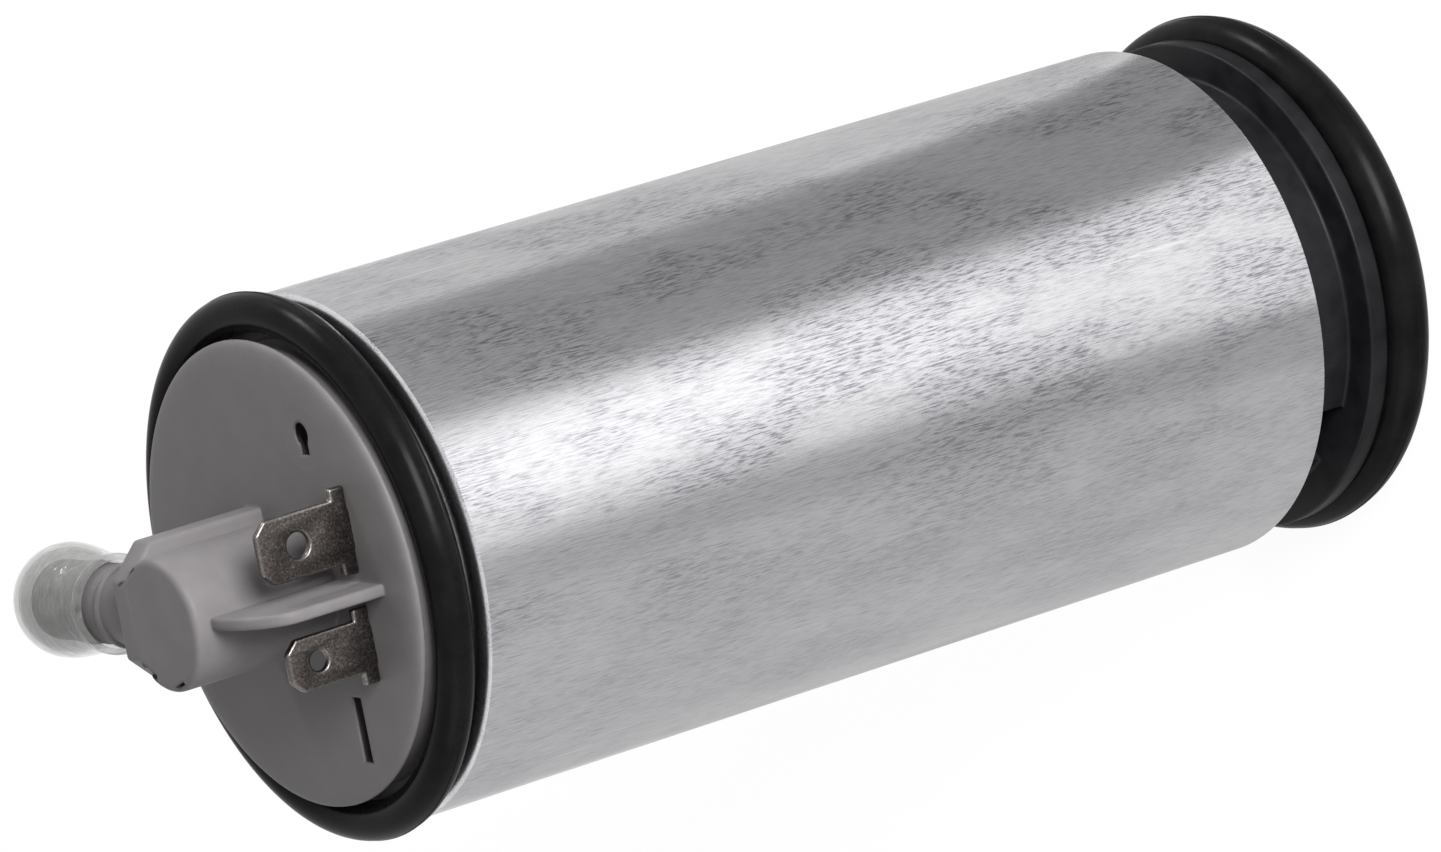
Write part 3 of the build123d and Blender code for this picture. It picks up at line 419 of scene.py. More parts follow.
def mottled(name, dark, light, size, rough, height, metallic=0.0, ease=0.0, shine=0.5):
    """A finish with a mottled colour, an uneven gloss and a fine relief.

    The grain's size, the relief's height and the easing of edges are in millimetres."""
    patch_size, dark_share = size * 8, 0.35
    finish = Finish(name)
    finish.set(Metallic=metallic, Specular_IOR_Level=shine)
    patches = finish.grain(patch_size)
    fine = finish.grain(size, detail=2.0)
    colours = finish.steps(patches, (MIDDLE[0], dark), (MIDDLE[1], light))
    finish.colour(finish.mix(finish.span(fine, MIDDLE, (0.0, dark_share)), colours, dark))
    finish.gloss(finish.span(patches, WIDE, rough))
    finish.bumped(finish.relief(fine, height, finish.soft_normal(ease) if ease else None))
    return finish.material


def zinc_can():
    """Bright zinc on drawn steel: short dark dashes along the can in cloudy bands, a few long scores."""
    bright_zinc, dull_zinc = (0.71, 0.705, 0.72), (0.61, 0.605, 0.63)
    hair_grey, dash_grey, score_white = (0.34, 0.34, 0.36), (0.155, 0.16, 0.195), (0.95, 0.95, 0.95)
    finish = Finish("zinc_can")
    finish.set(Metallic=1.0)
    dashes = finish.grain(0.16, (1, 1, 10), detail=3.0, roughness=0.6)
    hairs = finish.grain(0.07, (1, 1, 30), detail=2.0)
    scores = finish.grain(0.5, (1, 1, 45), detail=1.0)
    clouds = finish.grain(7.0, (1, 1, 2.5), detail=4.0, roughness=0.6)
    zinc = finish.steps(clouds, (0.32, bright_zinc), (0.68, dull_zinc))
    haired = finish.mix(finish.span(hairs, (0.50, 0.66), (0.0, 0.55)), zinc, hair_grey)

    # The dashes are strongest in the clouds and fade towards -Y.
    in_clouds = finish.product(finish.span(dashes, (0.47, 0.64), (0.0, 0.8)),
                               finish.span(clouds, (0.44, 0.58), (0.12, 1.0)))
    one_side = finish.span(finish.across("Y"), (-0.012, 0.002), (0.3, 1.0))
    marked = finish.mix(finish.product(in_clouds, one_side), haired, dash_grey)
    scored = finish.mix(finish.span(scores, (0.70, 0.76), (0.0, 0.3)), marked, score_white)
    finish.colour(scored)
    finish.gloss(finish.span(clouds, WIDE, (0.21, 0.29)))
    finish.bumped(finish.relief(hairs, 0.004))
    return finish.material


def tinned_brass():
    """Tinned blade: speckled face whose dark colour is painted dark reflection, and a painted highlight
    on the coined edges.
    """
    dark, middling, light = (0.055, 0.047, 0.044), (0.105, 0.092, 0.087), (0.26, 0.235, 0.225)
    dull, painted_edge_highlight = (0.060, 0.052, 0.048), (0.92, 0.89, 0.87)
    finish = Finish("tinned_brass")
    finish.set(Metallic=1.0)
    speckle = finish.grain(0.22, detail=4.0, roughness=0.75)
    patches = finish.grain(1.8, detail=3.0)
    # The face's low colour is painted dark reflection; its speckles and dull patches are the tin's own
    # mottling.
    face = finish.steps(speckle, (0.40, dark), (0.55, middling), (0.72, light))
    dulled = finish.mix(finish.span(patches, MIDDLE, (0.0, 0.5)), face, dull)
    # Painted highlight: the coined edges get a near-white colour.
    finish.colour(finish.mix(finish.edges(0.3), dulled, painted_edge_highlight))
    finish.gloss(finish.span(speckle, WIDE, (0.26, 0.38)))
    finish.bumped(finish.relief(speckle, 0.003, finish.soft_normal(0.12)))
    return finish.material


def clear_shell():
    """Clear soft plastic with a grey tint, moulded a little wavy."""
    dark, light = (0.14, 0.14, 0.135), (0.29, 0.29, 0.28)
    finish = Finish("clear_shell")
    finish.set(Alpha=0.42, Specular_IOR_Level=0.7, Coat_Weight=0.8, Coat_Roughness=0.04)
    waves = finish.grain(2.6, (0.5, 1, 1), detail=2.0)
    streaks = finish.grain(0.5, (0.5, 3, 3), detail=2.0)
    finish.colour(finish.steps(streaks, (MIDDLE[0], dark), (MIDDLE[1], light)))
    finish.gloss(finish.span(waves, WIDE, (0.05, 0.11)))
    finish.bumped(finish.relief(waves, 0.32))
    return finish.material


def gauze_finish():
    """Fine woven strainer cloth: threads across and along, with painted shade in the open squares
    between.
    """
    # The open squares are painted near black: painted shade in place of seeing through the cloth.
    painted_opening_shade, thread = (0.02, 0.02, 0.02, 1), (0.52, 0.51, 0.48, 1)
    mesh_width = 0.5
    finish = Finish("strainer_gauze")
    cells = finish.tree.nodes.new("ShaderNodeTexBrick")
    cells.offset = 0.0
    for key, value in (
        ("Scale", 1.0 / MM), ("Brick Width", mesh_width), ("Row Height", mesh_width),
        ("Mortar Size", 0.09), ("Mortar Smooth", 0.5),
        ("Color1", painted_opening_shade), ("Color2", painted_opening_shade), ("Mortar", thread),
    ):
        cells.inputs[key].default_value = value
    finish.link(finish.place, cells.inputs["Vector"])
    finish.colour(cells.outputs["Color"])
    finish.gloss(finish.span(finish.grain(1.5), WIDE, (0.45, 0.6)))
    finish.bumped(finish.relief(cells.outputs["Fac"], 0.08))
    return finish.material


FINISHES = {
    "cover_grey": mottled(
        "cover_grey", dark=(0.136, 0.128, 0.130), light=(0.156, 0.148, 0.150),
        size=0.5, rough=(0.42, 0.52), height=0.006, ease=0.5, shine=0.2,
    ),
    "seal_rubber": mottled(
        "seal_rubber", dark=(0.004, 0.004, 0.0042), light=(0.007, 0.0068, 0.007),
        size=0.4, rough=(0.22, 0.32), height=0.006, shine=0.05,
    ),
    "housing_black": mottled(
        "housing_black", dark=(0.006, 0.006, 0.007), light=(0.012, 0.0115, 0.013),
        size=0.4, rough=(0.36, 0.48), height=0.008, ease=0.15, shine=0.12,
    ),
    "strainer_plastic": mottled(
        "strainer_plastic", dark=(0.52, 0.50, 0.42), light=(0.60, 0.58, 0.50),
        size=0.5, rough=(0.4, 0.5), height=0.005,
    ),
    "zinc_can": zinc_can(),
    "tinned_brass": tinned_brass(),
    "clear_shell": clear_shell(),
    "strainer_gauze": gauze_finish(),
}

METAL = 1.0

# Finishes of the parts inside the pump by the record's slot: name, dark colour, light colour, size
# of the grain, range of the roughness, height of the relief, and METAL where it is one
INNER = {
    "gasket_rubber": (
        "gasket_rubber", (0.012, 0.012, 0.012), (0.03, 0.03, 0.03), 0.4, (0.6, 0.75), 0.01,
    ),
    "pump_body_metal": (
        "cast_metal", (0.30, 0.30, 0.31), (0.42, 0.42, 0.43), 0.5, (0.35, 0.55), 0.02, METAL,
    ),
    "impeller_plastic": (
        "phenolic", (0.08, 0.04, 0.02), (0.13, 0.07, 0.035), 0.4, (0.45, 0.6), 0.01,
    ),
    "button_ceramic": (
        "ceramic", (0.66, 0.66, 0.63), (0.74, 0.74, 0.71), 0.3, (0.15, 0.25), 0.002,
    ),
    "bearing_bronze": (
        "sintered_bronze", (0.30, 0.19, 0.09), (0.46, 0.30, 0.14), 0.15, (0.35, 0.5), 0.01, METAL,
    ),
    "shaft_steel": (
        "ground_steel", (0.48, 0.48, 0.49), (0.56, 0.56, 0.57), 0.1, (0.15, 0.25), 0.002, METAL,
    ),
    "flux_steel": (
        "rolled_steel", (0.14, 0.14, 0.15), (0.22, 0.22, 0.23), 0.5, (0.4, 0.6), 0.01, METAL,
    ),
    "magnet_ferrite": (
        "ferrite", (0.035, 0.035, 0.038), (0.06, 0.06, 0.065), 0.3, (0.5, 0.7), 0.02,
    ),
    "spring_steel": (
        "drawn_wire", (0.42, 0.41, 0.39), (0.52, 0.51, 0.48), 0.1, (0.22, 0.35), 0.003, METAL,
    ),
    "core_steel": (
        "stacked_laminations", (0.12, 0.12, 0.13), (0.20, 0.20, 0.21), 0.3, (0.35, 0.5), 0.02, METAL,
    ),
    "winding_copper": (
        "enamelled_copper", (0.36, 0.12, 0.05), (0.55, 0.22, 0.09), 0.3, (0.25, 0.4), 0.03, METAL,
    ),
    "contact_carbon": (
        "pressed_carbon", (0.012, 0.012, 0.013), (0.03, 0.03, 0.032), 0.2, (0.4, 0.6), 0.01,
    ),
    "valve_plastic": (
        "natural_acetal", (0.60, 0.58, 0.50), (0.68, 0.66, 0.58), 0.5, (0.3, 0.4), 0.004,
    ),
    "valve_rubber": (
        "valve_rubber", (0.02, 0.014, 0.011), (0.04, 0.028, 0.022), 0.3, (0.5, 0.65), 0.006,
    ),
    "cover_plastic": (
        "hidden_cover_grey", (0.150, 0.145, 0.147), (0.172, 0.166, 0.168), 0.5, (0.42, 0.52), 0.006,
    ),
}


def dress_inner_nodes():
    """Gives every CAD node that stays its own finish."""
    made = {slot: mottled(*words) for slot, words in INNER.items()}
    for part in frame["record"]["subparts"]:
        node = frame["nodes"][part["node"]]
        if part["material_slot"] in made and not node.hide_render:
            for place in node.material_slots:
                place.material = made[part["material_slot"]]


def shorten_springs():
    """Gives each spring that a joint presses its own copy of its mesh."""
    for joint in frame["record"]["behaviour"]["joints"]:
        for words in joint.get("deforming_nodes", ()):
            low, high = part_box(words["node"])
            length = words["fixed_end_z_m"] - low[2]
            # The leads run up from their fixed end and keep their shape.
            if high[2] - words["fixed_end_z_m"] < length:
                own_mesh(frame["nodes"][words["node"]])


# Can and inlet end

def make_can():
    """Drawn can with both ends rolled in. At the cover end the roll falls off towards the outside."""
    inside_r = 25.0
    crest_r, shoulder_r = 25.2, 26.2
    shoulder_z, side_z = 118.55, 118.3
    can = turned("can_shell", [
        (lip_r, can_top_z), (crest_r, can_top_z), (shoulder_r, shoulder_z), (can_r, side_z),
        (can_r, can_z), (lip_r, can_z), (lip_r, can_floor_z), (inside_r, can_floor_z),
        (inside_r, can_roof_z), (lip_r, can_roof_z), (lip_r, can_top_z),
    ])
    for radius, place, size, segments in (
        (shoulder_r, shoulder_z, 0.3, 4), (crest_r, can_top_z, 0.4, 4), (can_r, can_z, 0.3, 4),
        (lip_r, can_top_z, 0.35, 3), (lip_r, can_z, 0.35, 3),
    ):
        round_ring(can, radius, place, size, segments)
    hand_over(can, FINISHES["zinc_can"], "housing", "can_metal", "pump_can")


def make_inlet_housing():
    """Black inlet moulding: ring seat, flange, neck with two fuel windows, stepped socket."""
    well_r, well_z = 18.4, 14.0
    ledge_r, socket_r = 19.4, 20.25
    foot_r, foot_z = 23.2, 0.9
    flange_r = 25.65
    plug_top_z = 22.05
    housing = turned("inlet_moulding", [
        (0, well_z), (well_r, well_z), (well_r, ledge_z), (ledge_r, ledge_z), (ledge_r, socket_z),
        (socket_r, socket_z), (socket_r, 0), (foot_r, 0), (foot_r, foot_z), (neck_r, foot_z),
        (neck_r, flange_z), (flange_r, flange_z), (flange_r, neck_z), (neck_r, neck_z),
        (neck_r, can_floor_z), (plug_r, can_floor_z), (plug_r, plug_top_z), (0, plug_top_z),
    ])
    for radius, place, size in (
        (flange_r, flange_z, 0.3), (flange_r, neck_z, 0.3), (neck_r, neck_z, 0.4),
        (foot_r, 0, 0.25), (foot_r, foot_z, 0.25), (socket_r, 0, 0.25),
    ):
        round_ring(housing, radius, place, size, segments=3)

    # The photo shows the first window, and the other is on the far side. Both go through the neck.
    window_half, window_top_z = 3.9, 13.8
    inner_x, open_x = 16.9, 27.4
    for angle in (-43, 137):
        window = block("window", (inner_x, -window_half, neck_z), (open_x, window_half, window_top_z))
        ease_edges(window, 0.35, segments=3)
        turn_about_z(window, angle)
        cut_out(housing, window)

    # The port leads from the well through the plug to the turbine.
    port_from_axis, port_angle = 15.5, radians(30)
    port = post("port", radius=2.8, low=13.0, high=23.0, x=port_from_axis * cos(port_angle),
                y=port_from_axis * sin(port_angle), vertices=48)
    cut_out(housing, port)
    hand_over(housing, FINISHES["housing_black"], "housing", "housing_plastic", "inlet_housing")


def make_strainer():
    """Strainer in the inlet socket: rim and three spokes over woven cloth."""
    opening_r, rim_r, cloth_r = 17.15, 19.35, 18.25
    cloth_z, cloth_top_z = 4.5, 5.1
    spoke_half = 0.8
    rim = turned("strainer_rim", [
        (opening_r, socket_z), (rim_r, socket_z), (rim_r, ledge_z), (opening_r, ledge_z),
        (opening_r, socket_z),
    ])
    for turn in range(3):
        spoke = block("spoke", (0, -spoke_half, socket_z), (cloth_r, spoke_half, ledge_z))
        turn_about_z(spoke, 120 * turn)
        add_solid(rim, spoke)
    ease_edges(rim, 0.2)
    hand_over(rim, FINISHES["strainer_plastic"], "housing", "strainer_plastic", "inlet_strainer")
    cloth = turned("strainer_cloth", [
        (0, cloth_z), (cloth_r, cloth_z), (cloth_r, cloth_top_z), (0, cloth_top_z),
    ])
    hand_over(cloth, FINISHES["strainer_gauze"], "housing", "strainer_plastic")


def make_seal_ring(name, node, place, middle_r, section_r, out_of_round, angle, shift=0.0):
    """Rubber ring with the thin flash of its mould round the outside, a little out of round."""
    flash_width, flash_reach, near_flash = 0.08, 1.0026, 0.03
    select_none()
    bpy.ops.mesh.primitive_torus_add(
        location=(0, 0, place * MM), major_segments=240, minor_segments=48,
        major_radius=middle_r * MM, minor_radius=section_r * MM,
    )
    ring = name_new(name)
    outside = middle_r + section_r
    round_edges(ring, lambda x, y, z: abs(hypot(x, y) - outside) < NEAR, flash_width, segments=2)
    open_mesh(ring, "EDGE")
    pick_edges(ring, lambda x, y, z: abs(z - place) < near_flash and hypot(x, y) > middle_r)
    bpy.ops.transform.resize(value=(flash_reach, flash_reach, 1), center_override=(0, 0, place * MM))
    close_mesh()
    take(ring)
    ring.scale = (1 + out_of_round, 1 - out_of_round, 1)
    bpy.ops.object.transform_apply(scale=True)
    turn_about_z(ring, angle, (0, shift))
    hand_over(ring, FINISHES["seal_rubber"], "housing", "ring_rubber", node)


# Outlet cover

def cover_plug_and_disc():
    """The plug that closes the can, the collar over the can's lip and the crowned disc."""
    hollow_r, hollow_top_z, step_z, skirt_z = 20.4, 121.5, 115.8, 102.05
    throat_r = 22.2
    collar_r, collar_z, collar_top_z = 23.9, 118.95, 119.2
    inside = [
        (0, hollow_top_z), (hollow_r, hollow_top_z), (hollow_r, step_z), (neck_r, step_z),
        (neck_r, skirt_z),
    ]
    outside = [
        (plug_r, skirt_z), (plug_r, can_roof_z), (throat_r, can_roof_z), (throat_r, collar_z),
        (collar_r, collar_z), (collar_r, collar_top_z), (throat_r, collar_top_z),
    ]
    edge_and_crown = [
        (throat_r, 123.55), (23.1, 123.6), (disc_r, 123.8), (23.2, 124.02), (23.0, 124.2),
        (22.6, 124.33), (21.9, 124.42), (20.8, 124.48), (19.4, disc_z), (0, disc_z),
    ]
    return turned("outlet_moulding", inside + outside + edge_and_crown)


def cover_boss():
    """Round boss that the nipple and the fin start from."""
    boss = post("boss", boss_r, root_z, boss_top_z, boss_x, outlet_y)
    round_edges(boss, lambda x, y, z: z > boss_top_z - NEAR, size=0.75, segments=6)
    return boss


def cover_plate():
    """Cross plate on the nipple's side of the boss, with its two upper corners sloped off."""
    face_x, back_x = -4.05, -1.0
    ends_y = {1: 6.7, -1: -7.5}
    slope_z, slope_rise, slope_run = 137.3, 3.3, 2.05
    plate = block("plate", (face_x, ends_y[-1], root_z), (back_x, ends_y[1], boss_top_z))
    open_mesh(plate)
    for side, end_y in ends_y.items():
        bpy.ops.mesh.select_all(action="SELECT")
        bpy.ops.mesh.bisect(
            plane_co=(0, end_y * MM, slope_z * MM), plane_no=(0, side * slope_rise, slope_run),
            use_fill=True, clear_outer=True,
        )
    close_mesh()
    ease_edges(plate, 0.3, segments=3, angle=20)
    return plate


def cover_nipple(middle):
    """Hose nipple with a bead, a low barb and an eased tip."""
    tube_r, bead_r, barb_r = 3.95, 4.25, 4.15
    bead_x, bead_end_x = -9.9, -10.7
    barb_x, barb_end_x = -17.0, -19.0
    tip_x, tip_ease = -23.1, 0.3
    nipple = turned("nipple", [
        (0, boss_x), (tube_r, boss_x), (tube_r, bead_x), (bead_r, bead_x), (bead_r, bead_end_x),
        (tube_r, bead_end_x), (tube_r, barb_x), (barb_r, barb_x), (tube_r, barb_end_x),
        (tube_r, tip_x + tip_ease), (tube_r - tip_ease, tip_x), (0, tip_x),
    ], axis="X", centre=middle, steps=96)
    for place in (bead_x, bead_end_x):
        round_along_x(nipple, bead_r, place, size=0.2, segments=3)
    round_along_x(nipple, barb_r, barb_x, size=0.1, segments=2)
    return nipple


def cover_fin():
    """Fin on the terminals' side of the boss, whose top bends down to its end."""
    end_x, top_z = 18.4, 138.8
    bend_x, bend_z, bend_along, bend_down = 9.55, 134.0, 8.85, 4.8
    side_y, thickness = -1.15, 1.2
    outline = [(boss_x, root_z), (end_x, root_z)]
    outline += [(bend_x + bend_along * cos(a), bend_z + bend_down * sin(a)) for a in QUARTER]
    outline += [(boss_x, top_z)]
    fin = flat_part("fin", [(x, side_y, z) for x, z in outline], (0, thickness, 0))
    ease_edges(fin, 0.25, segments=3, angle=20)
    return fin


def slanted_block(name, middle, length, width, low, high, angle):
    """A block that stands on end and is turned round Z."""
    piece = block(name, (-length / 2, -width / 2, low), (length / 2, width / 2, high))
    turn_about_z(piece, angle, middle)
    return piece


def cut_grooves(cover):
    """Sinks and short grooves where the boss and the plate run into each other."""
    above_boss_z = 141.5
    for middle, length, width, floor_z, angle in (
        ((-0.3, -5.45), 2.6, 1.0, 139.85, -25.4),
        ((4.9, -6.35), 1.9, 0.35, 139.3, 21.4),
        ((-1.1, 4.0), 4.0, 0.28, 140.4, 28.8),
    ):
        cut_out(cover, slanted_block("groove", middle, length, width, floor_z, above_boss_z, angle))


def cut_bores(cover, middle):
    """The nipple's bore and the check valve's bore, which meet in the boss."""
    nipple_bore_r, past_tip_x = 2.3, -23.6
    bore = turned("bore", [
        (0, boss_x), (nipple_bore_r, boss_x), (nipple_bore_r, past_tip_x), (0, past_tip_x),
    ], axis="X", centre=middle, steps=64)
    cut_out(cover, bore)
    valve_bore = post("valve_bore", radius=4.1, low=115.0, high=138.1, x=boss_x, y=outlet_y, vertices=64)
    cut_out(cover, valve_bore)


def cut_keyhole_and_slot(cover):
    """Two openings in the disc, each with a wider room under its lip."""
    hole_room_z, hole_lip_z = 121.0, 124.28
    slot_room_z, slot_lip_z = 121.9, 124.25
    keyhole = post("keyhole", radius=1.2, low=root_z, high=over_disc_z, x=9.0, y=14.3, vertices=24)
    add_solid(keyhole, block("notch", (8.35, 12.3, root_z), (9.9, 14.0, over_disc_z)))
    add_solid(keyhole, block("notch_side", (7.95, 13.55, root_z), (8.6, 14.3, over_disc_z)))
    cut_out(cover, keyhole)
    keyhole_room = post("keyhole_room", radius=3.0, low=hole_room_z, high=hole_lip_z, x=8.9, y=13.9,
                        vertices=48)
    cut_out(cover, keyhole_room)
    cut_out(cover, block("blind_slot", (8.7, -18.1, root_z), (10.3, -11.6, over_disc_z)))
    cut_out(cover, block("blind_slot_room", (7.0, -18.3, slot_room_z), (11.0, -11.4, slot_lip_z)))


def make_cover():
    """Grey outlet cover: disc and neck, boss, plate, nipple and fin as one moulding."""
    outlet_middle = (0, outlet_y, nipple_z)
    cover = cover_plug_and_disc()
    for part in (cover_boss(), cover_plate(), cover_nipple(outlet_middle), cover_fin()):
        add_solid(cover, part)
    cut_grooves(cover)
    cut_bores(cover, outlet_middle)
    cut_keyhole_and_slot(cover)
    hand_over(cover, FINISHES["cover_grey"], "housing", "cover_plastic", "outlet_cover")


# Terminals and dust cap

def make_blade(name, node, y, width, height, hole_r, hole_z):
    """Blade terminal: tapered tip, hole, shoulders on the disc and the leg below it."""
    face_x, thickness = 14.0, 0.8
    leg_half, leg_z = 2.0, 118.1
    half = width / 2
    shoulder_half, shoulder_z = half + 1.15, disc_z + 1.75
    tip, top_z = 1.2, disc_z + height
    right = [
        (leg_half, leg_z), (leg_half, disc_z), (shoulder_half, disc_z), (shoulder_half, shoulder_z),
        (half, shoulder_z), (half, top_z - tip), (half - tip, top_z),
    ]
    outline = [(y + across, up) for across, up in right]
    outline += [(y - across, up) for across, up in reversed(right)]
    blade = flat_part(name, [(face_x, across, up) for across, up in outline], (thickness, 0, 0))
    before_x, behind_x = 13.0, 16.0
    hole = turned("hole", [(0, before_x), (hole_r, before_x), (hole_r, behind_x), (0, behind_x)],
                  axis="X", centre=(0, y, disc_z + hole_z), steps=48)
    cut_out(blade, hole)
    ease_edges(blade, 0.26, segments=4, angle=30)
    hand_over(blade, FINISHES["tinned_brass"], "housing", "tinned_blade", node)


def cap_line(inset, start_x):
    """The cap's line from its rim to the middle of the bulb, so far inside its outer face."""
    neck_x, bulb_x = -14.15, -21.8
    neck, bulb = 4.8 - inset, 5.68 - inset
    points = [(neck, start_x), (neck, neck_x)]
    for step in range(1, 10):
        part = step / 10
        rise = part * part * (3 - 2 * part)
        points.append((neck + (bulb - neck) * rise, neck_x + (bulb_x - neck_x) * part))
    points += [(bulb * cos(a), bulb_x - bulb * sin(a)) for a in QUARTER]
    return points


def make_cap():
    """Clear dust cap: rim, short neck and long round bulb, half a millimetre thick."""
    wall = 0.5
    mouth_r, rim_r = 4.3, 4.95
    mouth_x, rim_end_x = -12.75, -13.55
    outer, inner = cap_line(0, rim_end_x), cap_line(wall, rim_end_x)
    section = [(mouth_r, mouth_x), (rim_r, mouth_x), (rim_r, rim_end_x)]
    section += outer + inner[::-1] + [(mouth_r, mouth_x)]
    cap = turned("dust_cap", section, axis="X", centre=(0, outlet_y, nipple_z), steps=128)
    hand_over(cap, FINISHES["clear_shell"], "dust_cap", "clear_cap", "outlet_dust_cap")


make_can()
make_inlet_housing()
make_strainer()
make_seal_ring("front_ring", "front_seal_ring", place=121.255, middle_r=24.8, section_r=1.925,
               out_of_round=0.025, angle=105)
make_seal_ring("rear_ring", "rear_seal_ring", place=3.63, middle_r=24.89, section_r=2.45,
               out_of_round=0.006, angle=10, shift=0.25)
make_cover()
make_blade("wide_blade", "terminal_large", y=5.3, width=6.3, height=10.6, hole_r=1.25, hole_z=6.1)
make_blade("narrow_blade", "terminal_small", y=-5.95, width=5.2, height=9.7, hole_r=1.0, hole_z=6.3)
make_cap()
dress_inner_nodes()
shorten_springs()


# Studio, in metres

# The soft boxes look at the middle of the pump.
PUMP_MIDDLE = Vector((0, 0, 0.07))

# Strips of light and grey cards lie just over the floor.
STRIP_Z = 0.0008
CARD_Z = 0.0004


def shown_white(tree):
    """1 for the rays that are to see the plain white background, 0 for the rest."""
    path = tree.nodes.new("ShaderNodeLightPath")
    total = path.outputs["Is Camera Ray"]
    for name in ("Is Glossy Ray", "Is Transmission Ray"):
        larger = tree.nodes.new("ShaderNodeMath")
        larger.operation = "MAXIMUM"
        tree.links.new(total, larger.inputs[0])
        tree.links.new(path.outputs[name], larger.inputs[1])
        total = larger.outputs["Value"]
    return total


def make_floor():
    """Pale floor, white to the camera and in reflections, with the pump's soft shadow on it."""
    matt_grey, white_level, white_share = (0.9, 0.9, 0.9, 1), 1.06, 0.88
    select_none()
    bpy.ops.mesh.primitive_plane_add(size=8)
    floor = name_new("studio_floor")
    material, tree, output = empty_material("studio_white")
    matt = tree.nodes.new("ShaderNodeBsdfDiffuse")
    matt.inputs["Color"].default_value = matt_grey
    white = tree.nodes.new("ShaderNodeEmission")
    white.inputs["Strength"].default_value = white_level
    share = tree.nodes.new("ShaderNodeMath")
    share.operation = "MULTIPLY"
    share.inputs[1].default_value = white_share
    mixed = tree.nodes.new("ShaderNodeMixShader")
    tree.links.new(shown_white(tree), share.inputs[0])
    tree.links.new(share.outputs["Value"], mixed.inputs["Fac"])
    tree.links.new(matt.outputs["BSDF"], mixed.inputs[1])
    tree.links.new(white.outputs["Emission"], mixed.inputs[2])
    tree.links.new(mixed.outputs["Shader"], output.inputs["Surface"])
    floor.data.materials.append(material)


def make_world():
    """White where it is seen, soft grey light where it only lights."""
    unseen_level, seen_level = 0.32, 1.0
    world = bpy.data.worlds.new("studio_world")
    bpy.context.scene.world = world
    world.use_nodes = True
    tree = world.node_tree
    tree.nodes.clear()
    output = tree.nodes.new("ShaderNodeOutputWorld")
    sky = tree.nodes.new("ShaderNodeBackground")
    sky.inputs["Color"].default_value = (1, 1, 1, 1)
    level = tree.nodes.new("ShaderNodeMapRange")
    level.inputs["To Min"].default_value = unseen_level
    level.inputs["To Max"].default_value = seen_level
    tree.links.new(shown_white(tree), level.inputs["Value"])
    tree.links.new(level.outputs["Result"], sky.inputs["Strength"])
    tree.links.new(sky.outputs["Background"], output.inputs["Surface"])


def area_light(name, length, width, power):
    """A rectangular light that the camera doesn't see."""
    light = bpy.data.lights.new(name, "AREA")
    light.shape = "RECTANGLE"
    light.size, light.size_y = length, width
    light.energy = power
    lamp = bpy.data.objects.new(name, light)
    lamp.visible_camera = False
    bpy.context.collection.objects.link(lamp)
    return lamp


def soft_light(name, azimuth, elevation, distance, size, power):
    """A soft box that looks at the pump from this direction."""
    turn, tilt = radians(azimuth), radians(elevation)
    away = Vector((cos(turn) * cos(tilt), sin(turn) * cos(tilt), sin(tilt)))
    lamp = area_light(name, *size, power)
    lamp.location = PUMP_MIDDLE + away * distance
    lamp.rotation_euler = away.to_track_quat("Z", "Y").to_euler()


def low_light(name, azimuth, middle, length, width, power):
    """A strip of light that lies on the floor, looks up and shows in the side of the can."""
    turn = radians(azimuth)
    lamp = area_light(name, length, width, power)
    lamp.location = (middle * cos(turn), middle * sin(turn), STRIP_Z)
    lamp.rotation_euler = (pi, 0, turn)


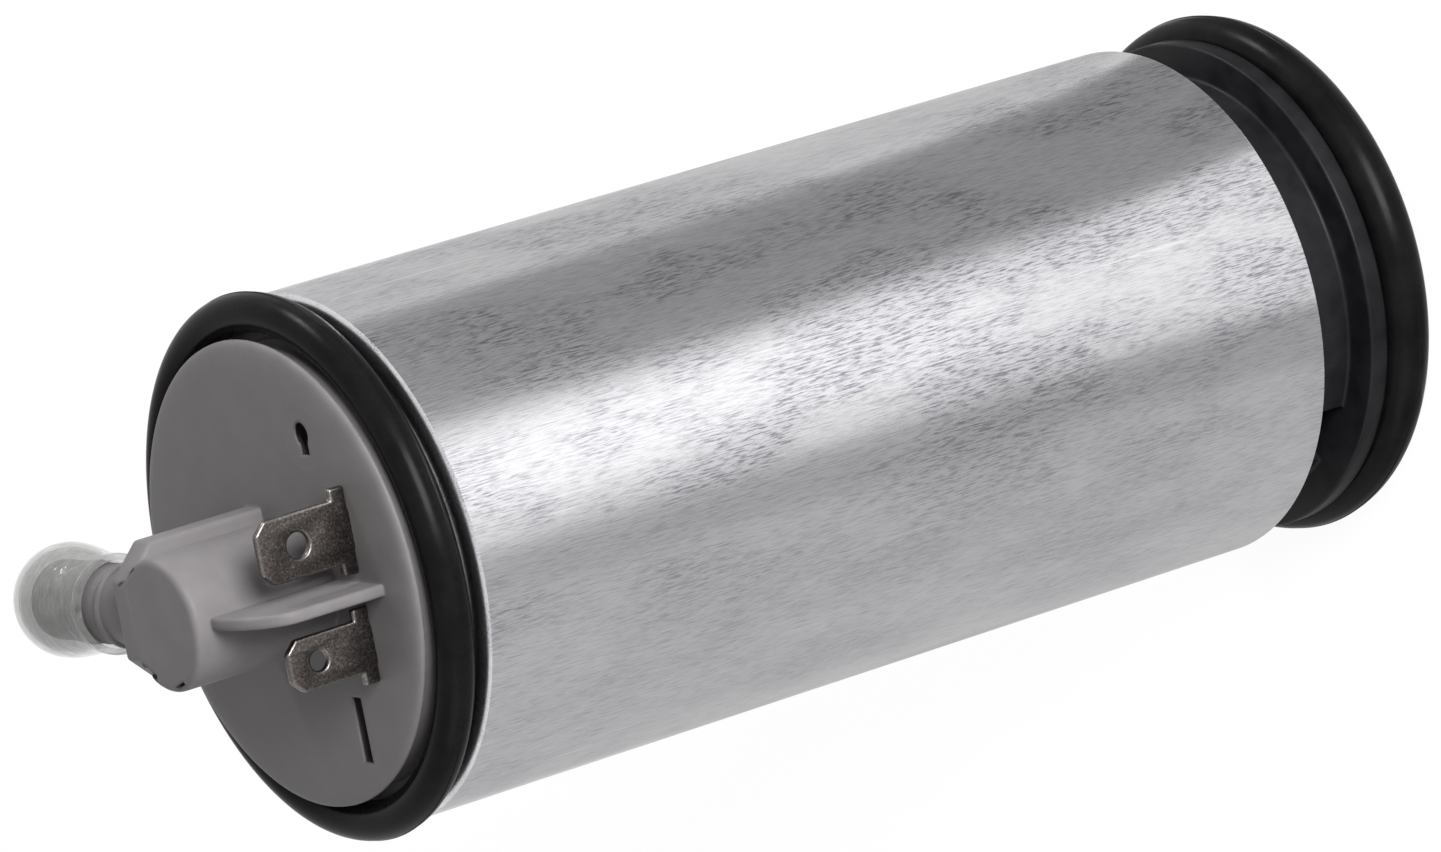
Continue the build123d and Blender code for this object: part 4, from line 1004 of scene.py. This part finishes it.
def grey_card(name, azimuth, near_width, far_width, level, near=0.028, far=0.30):
    """A grey card that lies on the floor, widens outwards and shows only in glossy reflections."""
    select_none()
    bpy.ops.mesh.primitive_plane_add(size=1)
    card = name_new(name)
    card.scale = (far - near, 1, 1)
    card.location = ((near + far) / 2, 0, CARD_Z)
    bpy.ops.object.transform_apply(location=True, scale=True)
    for place, width in ((near, near_width), (far, far_width)):
        open_mesh(card, "EDGE")
        pick_edges(card, lambda x, y, z: abs(x * MM - place) < MM)
        bpy.ops.transform.resize(value=(1, width, 1), center_override=(place, 0, CARD_Z))
        close_mesh()
    turn_about_z(card, azimuth)
    material, tree, output = empty_material(name)
    grey = tree.nodes.new("ShaderNodeEmission")
    grey.inputs["Strength"].default_value = level
    tree.links.new(grey.outputs["Emission"], output.inputs["Surface"])
    card.data.materials.append(material)
    card.visible_camera = False
    card.visible_diffuse = False
    card.visible_transmission = False
    card.visible_shadow = False


def make_camera():
    """The photograph's view: long lens, looking down on the cover end."""
    camera = bpy.data.cameras.new("photo_camera")
    camera.lens = 233.1
    camera.sensor_width = 36
    camera.clip_start = 0.01
    camera.clip_end = 50
    holder = bpy.data.objects.new("photo_camera", camera)
    right = Vector((0.5698, -0.1858, -0.8005))
    up = Vector((-0.0323, 0.9683, -0.2478))
    back = Vector((0.8212, 0.1671, 0.5457))
    stand = (0.7606, 0.1560, 0.5767)
    turn = Matrix((right, up, back)).transposed().to_4x4()
    holder.matrix_world = Matrix.Translation(stand) @ turn
    bpy.context.collection.objects.link(holder)
    bpy.context.scene.camera = holder


make_floor()
make_world()
soft_light("key_soft_box", azimuth=28, elevation=13, distance=0.95, size=(0.42, 0.48), power=15.0)
soft_light("back_soft_box", azimuth=114, elevation=18, distance=0.95, size=(0.18, 0.24), power=3.2)
soft_light("fill_soft_box", azimuth=-60, elevation=25, distance=1.1, size=(0.6, 0.6), power=1.5)
low_light("low_strip_near", azimuth=28, middle=0.064, length=0.050, width=0.040, power=0.0010)
low_light("low_strip_middle", azimuth=29, middle=0.118, length=0.060, width=0.066, power=0.0056)
low_light("low_strip_far", azimuth=26, middle=0.194, length=0.090, width=0.105, power=0.0150)
grey_card("grey_card_back", azimuth=81, near_width=0.034, far_width=0.37, level=0.35)
grey_card("grey_card_far", azimuth=143, near_width=0.028, far_width=0.30, level=0.70)
grey_card("grey_card_front", azimuth=-13, near_width=0.011, far_width=0.11, level=0.47)
grey_card("grey_card_side", azimuth=-84, near_width=0.060, far_width=1.12, level=0.62, near=0.016)
make_camera()
bpy.context.scene.view_settings.view_transform = "Standard"
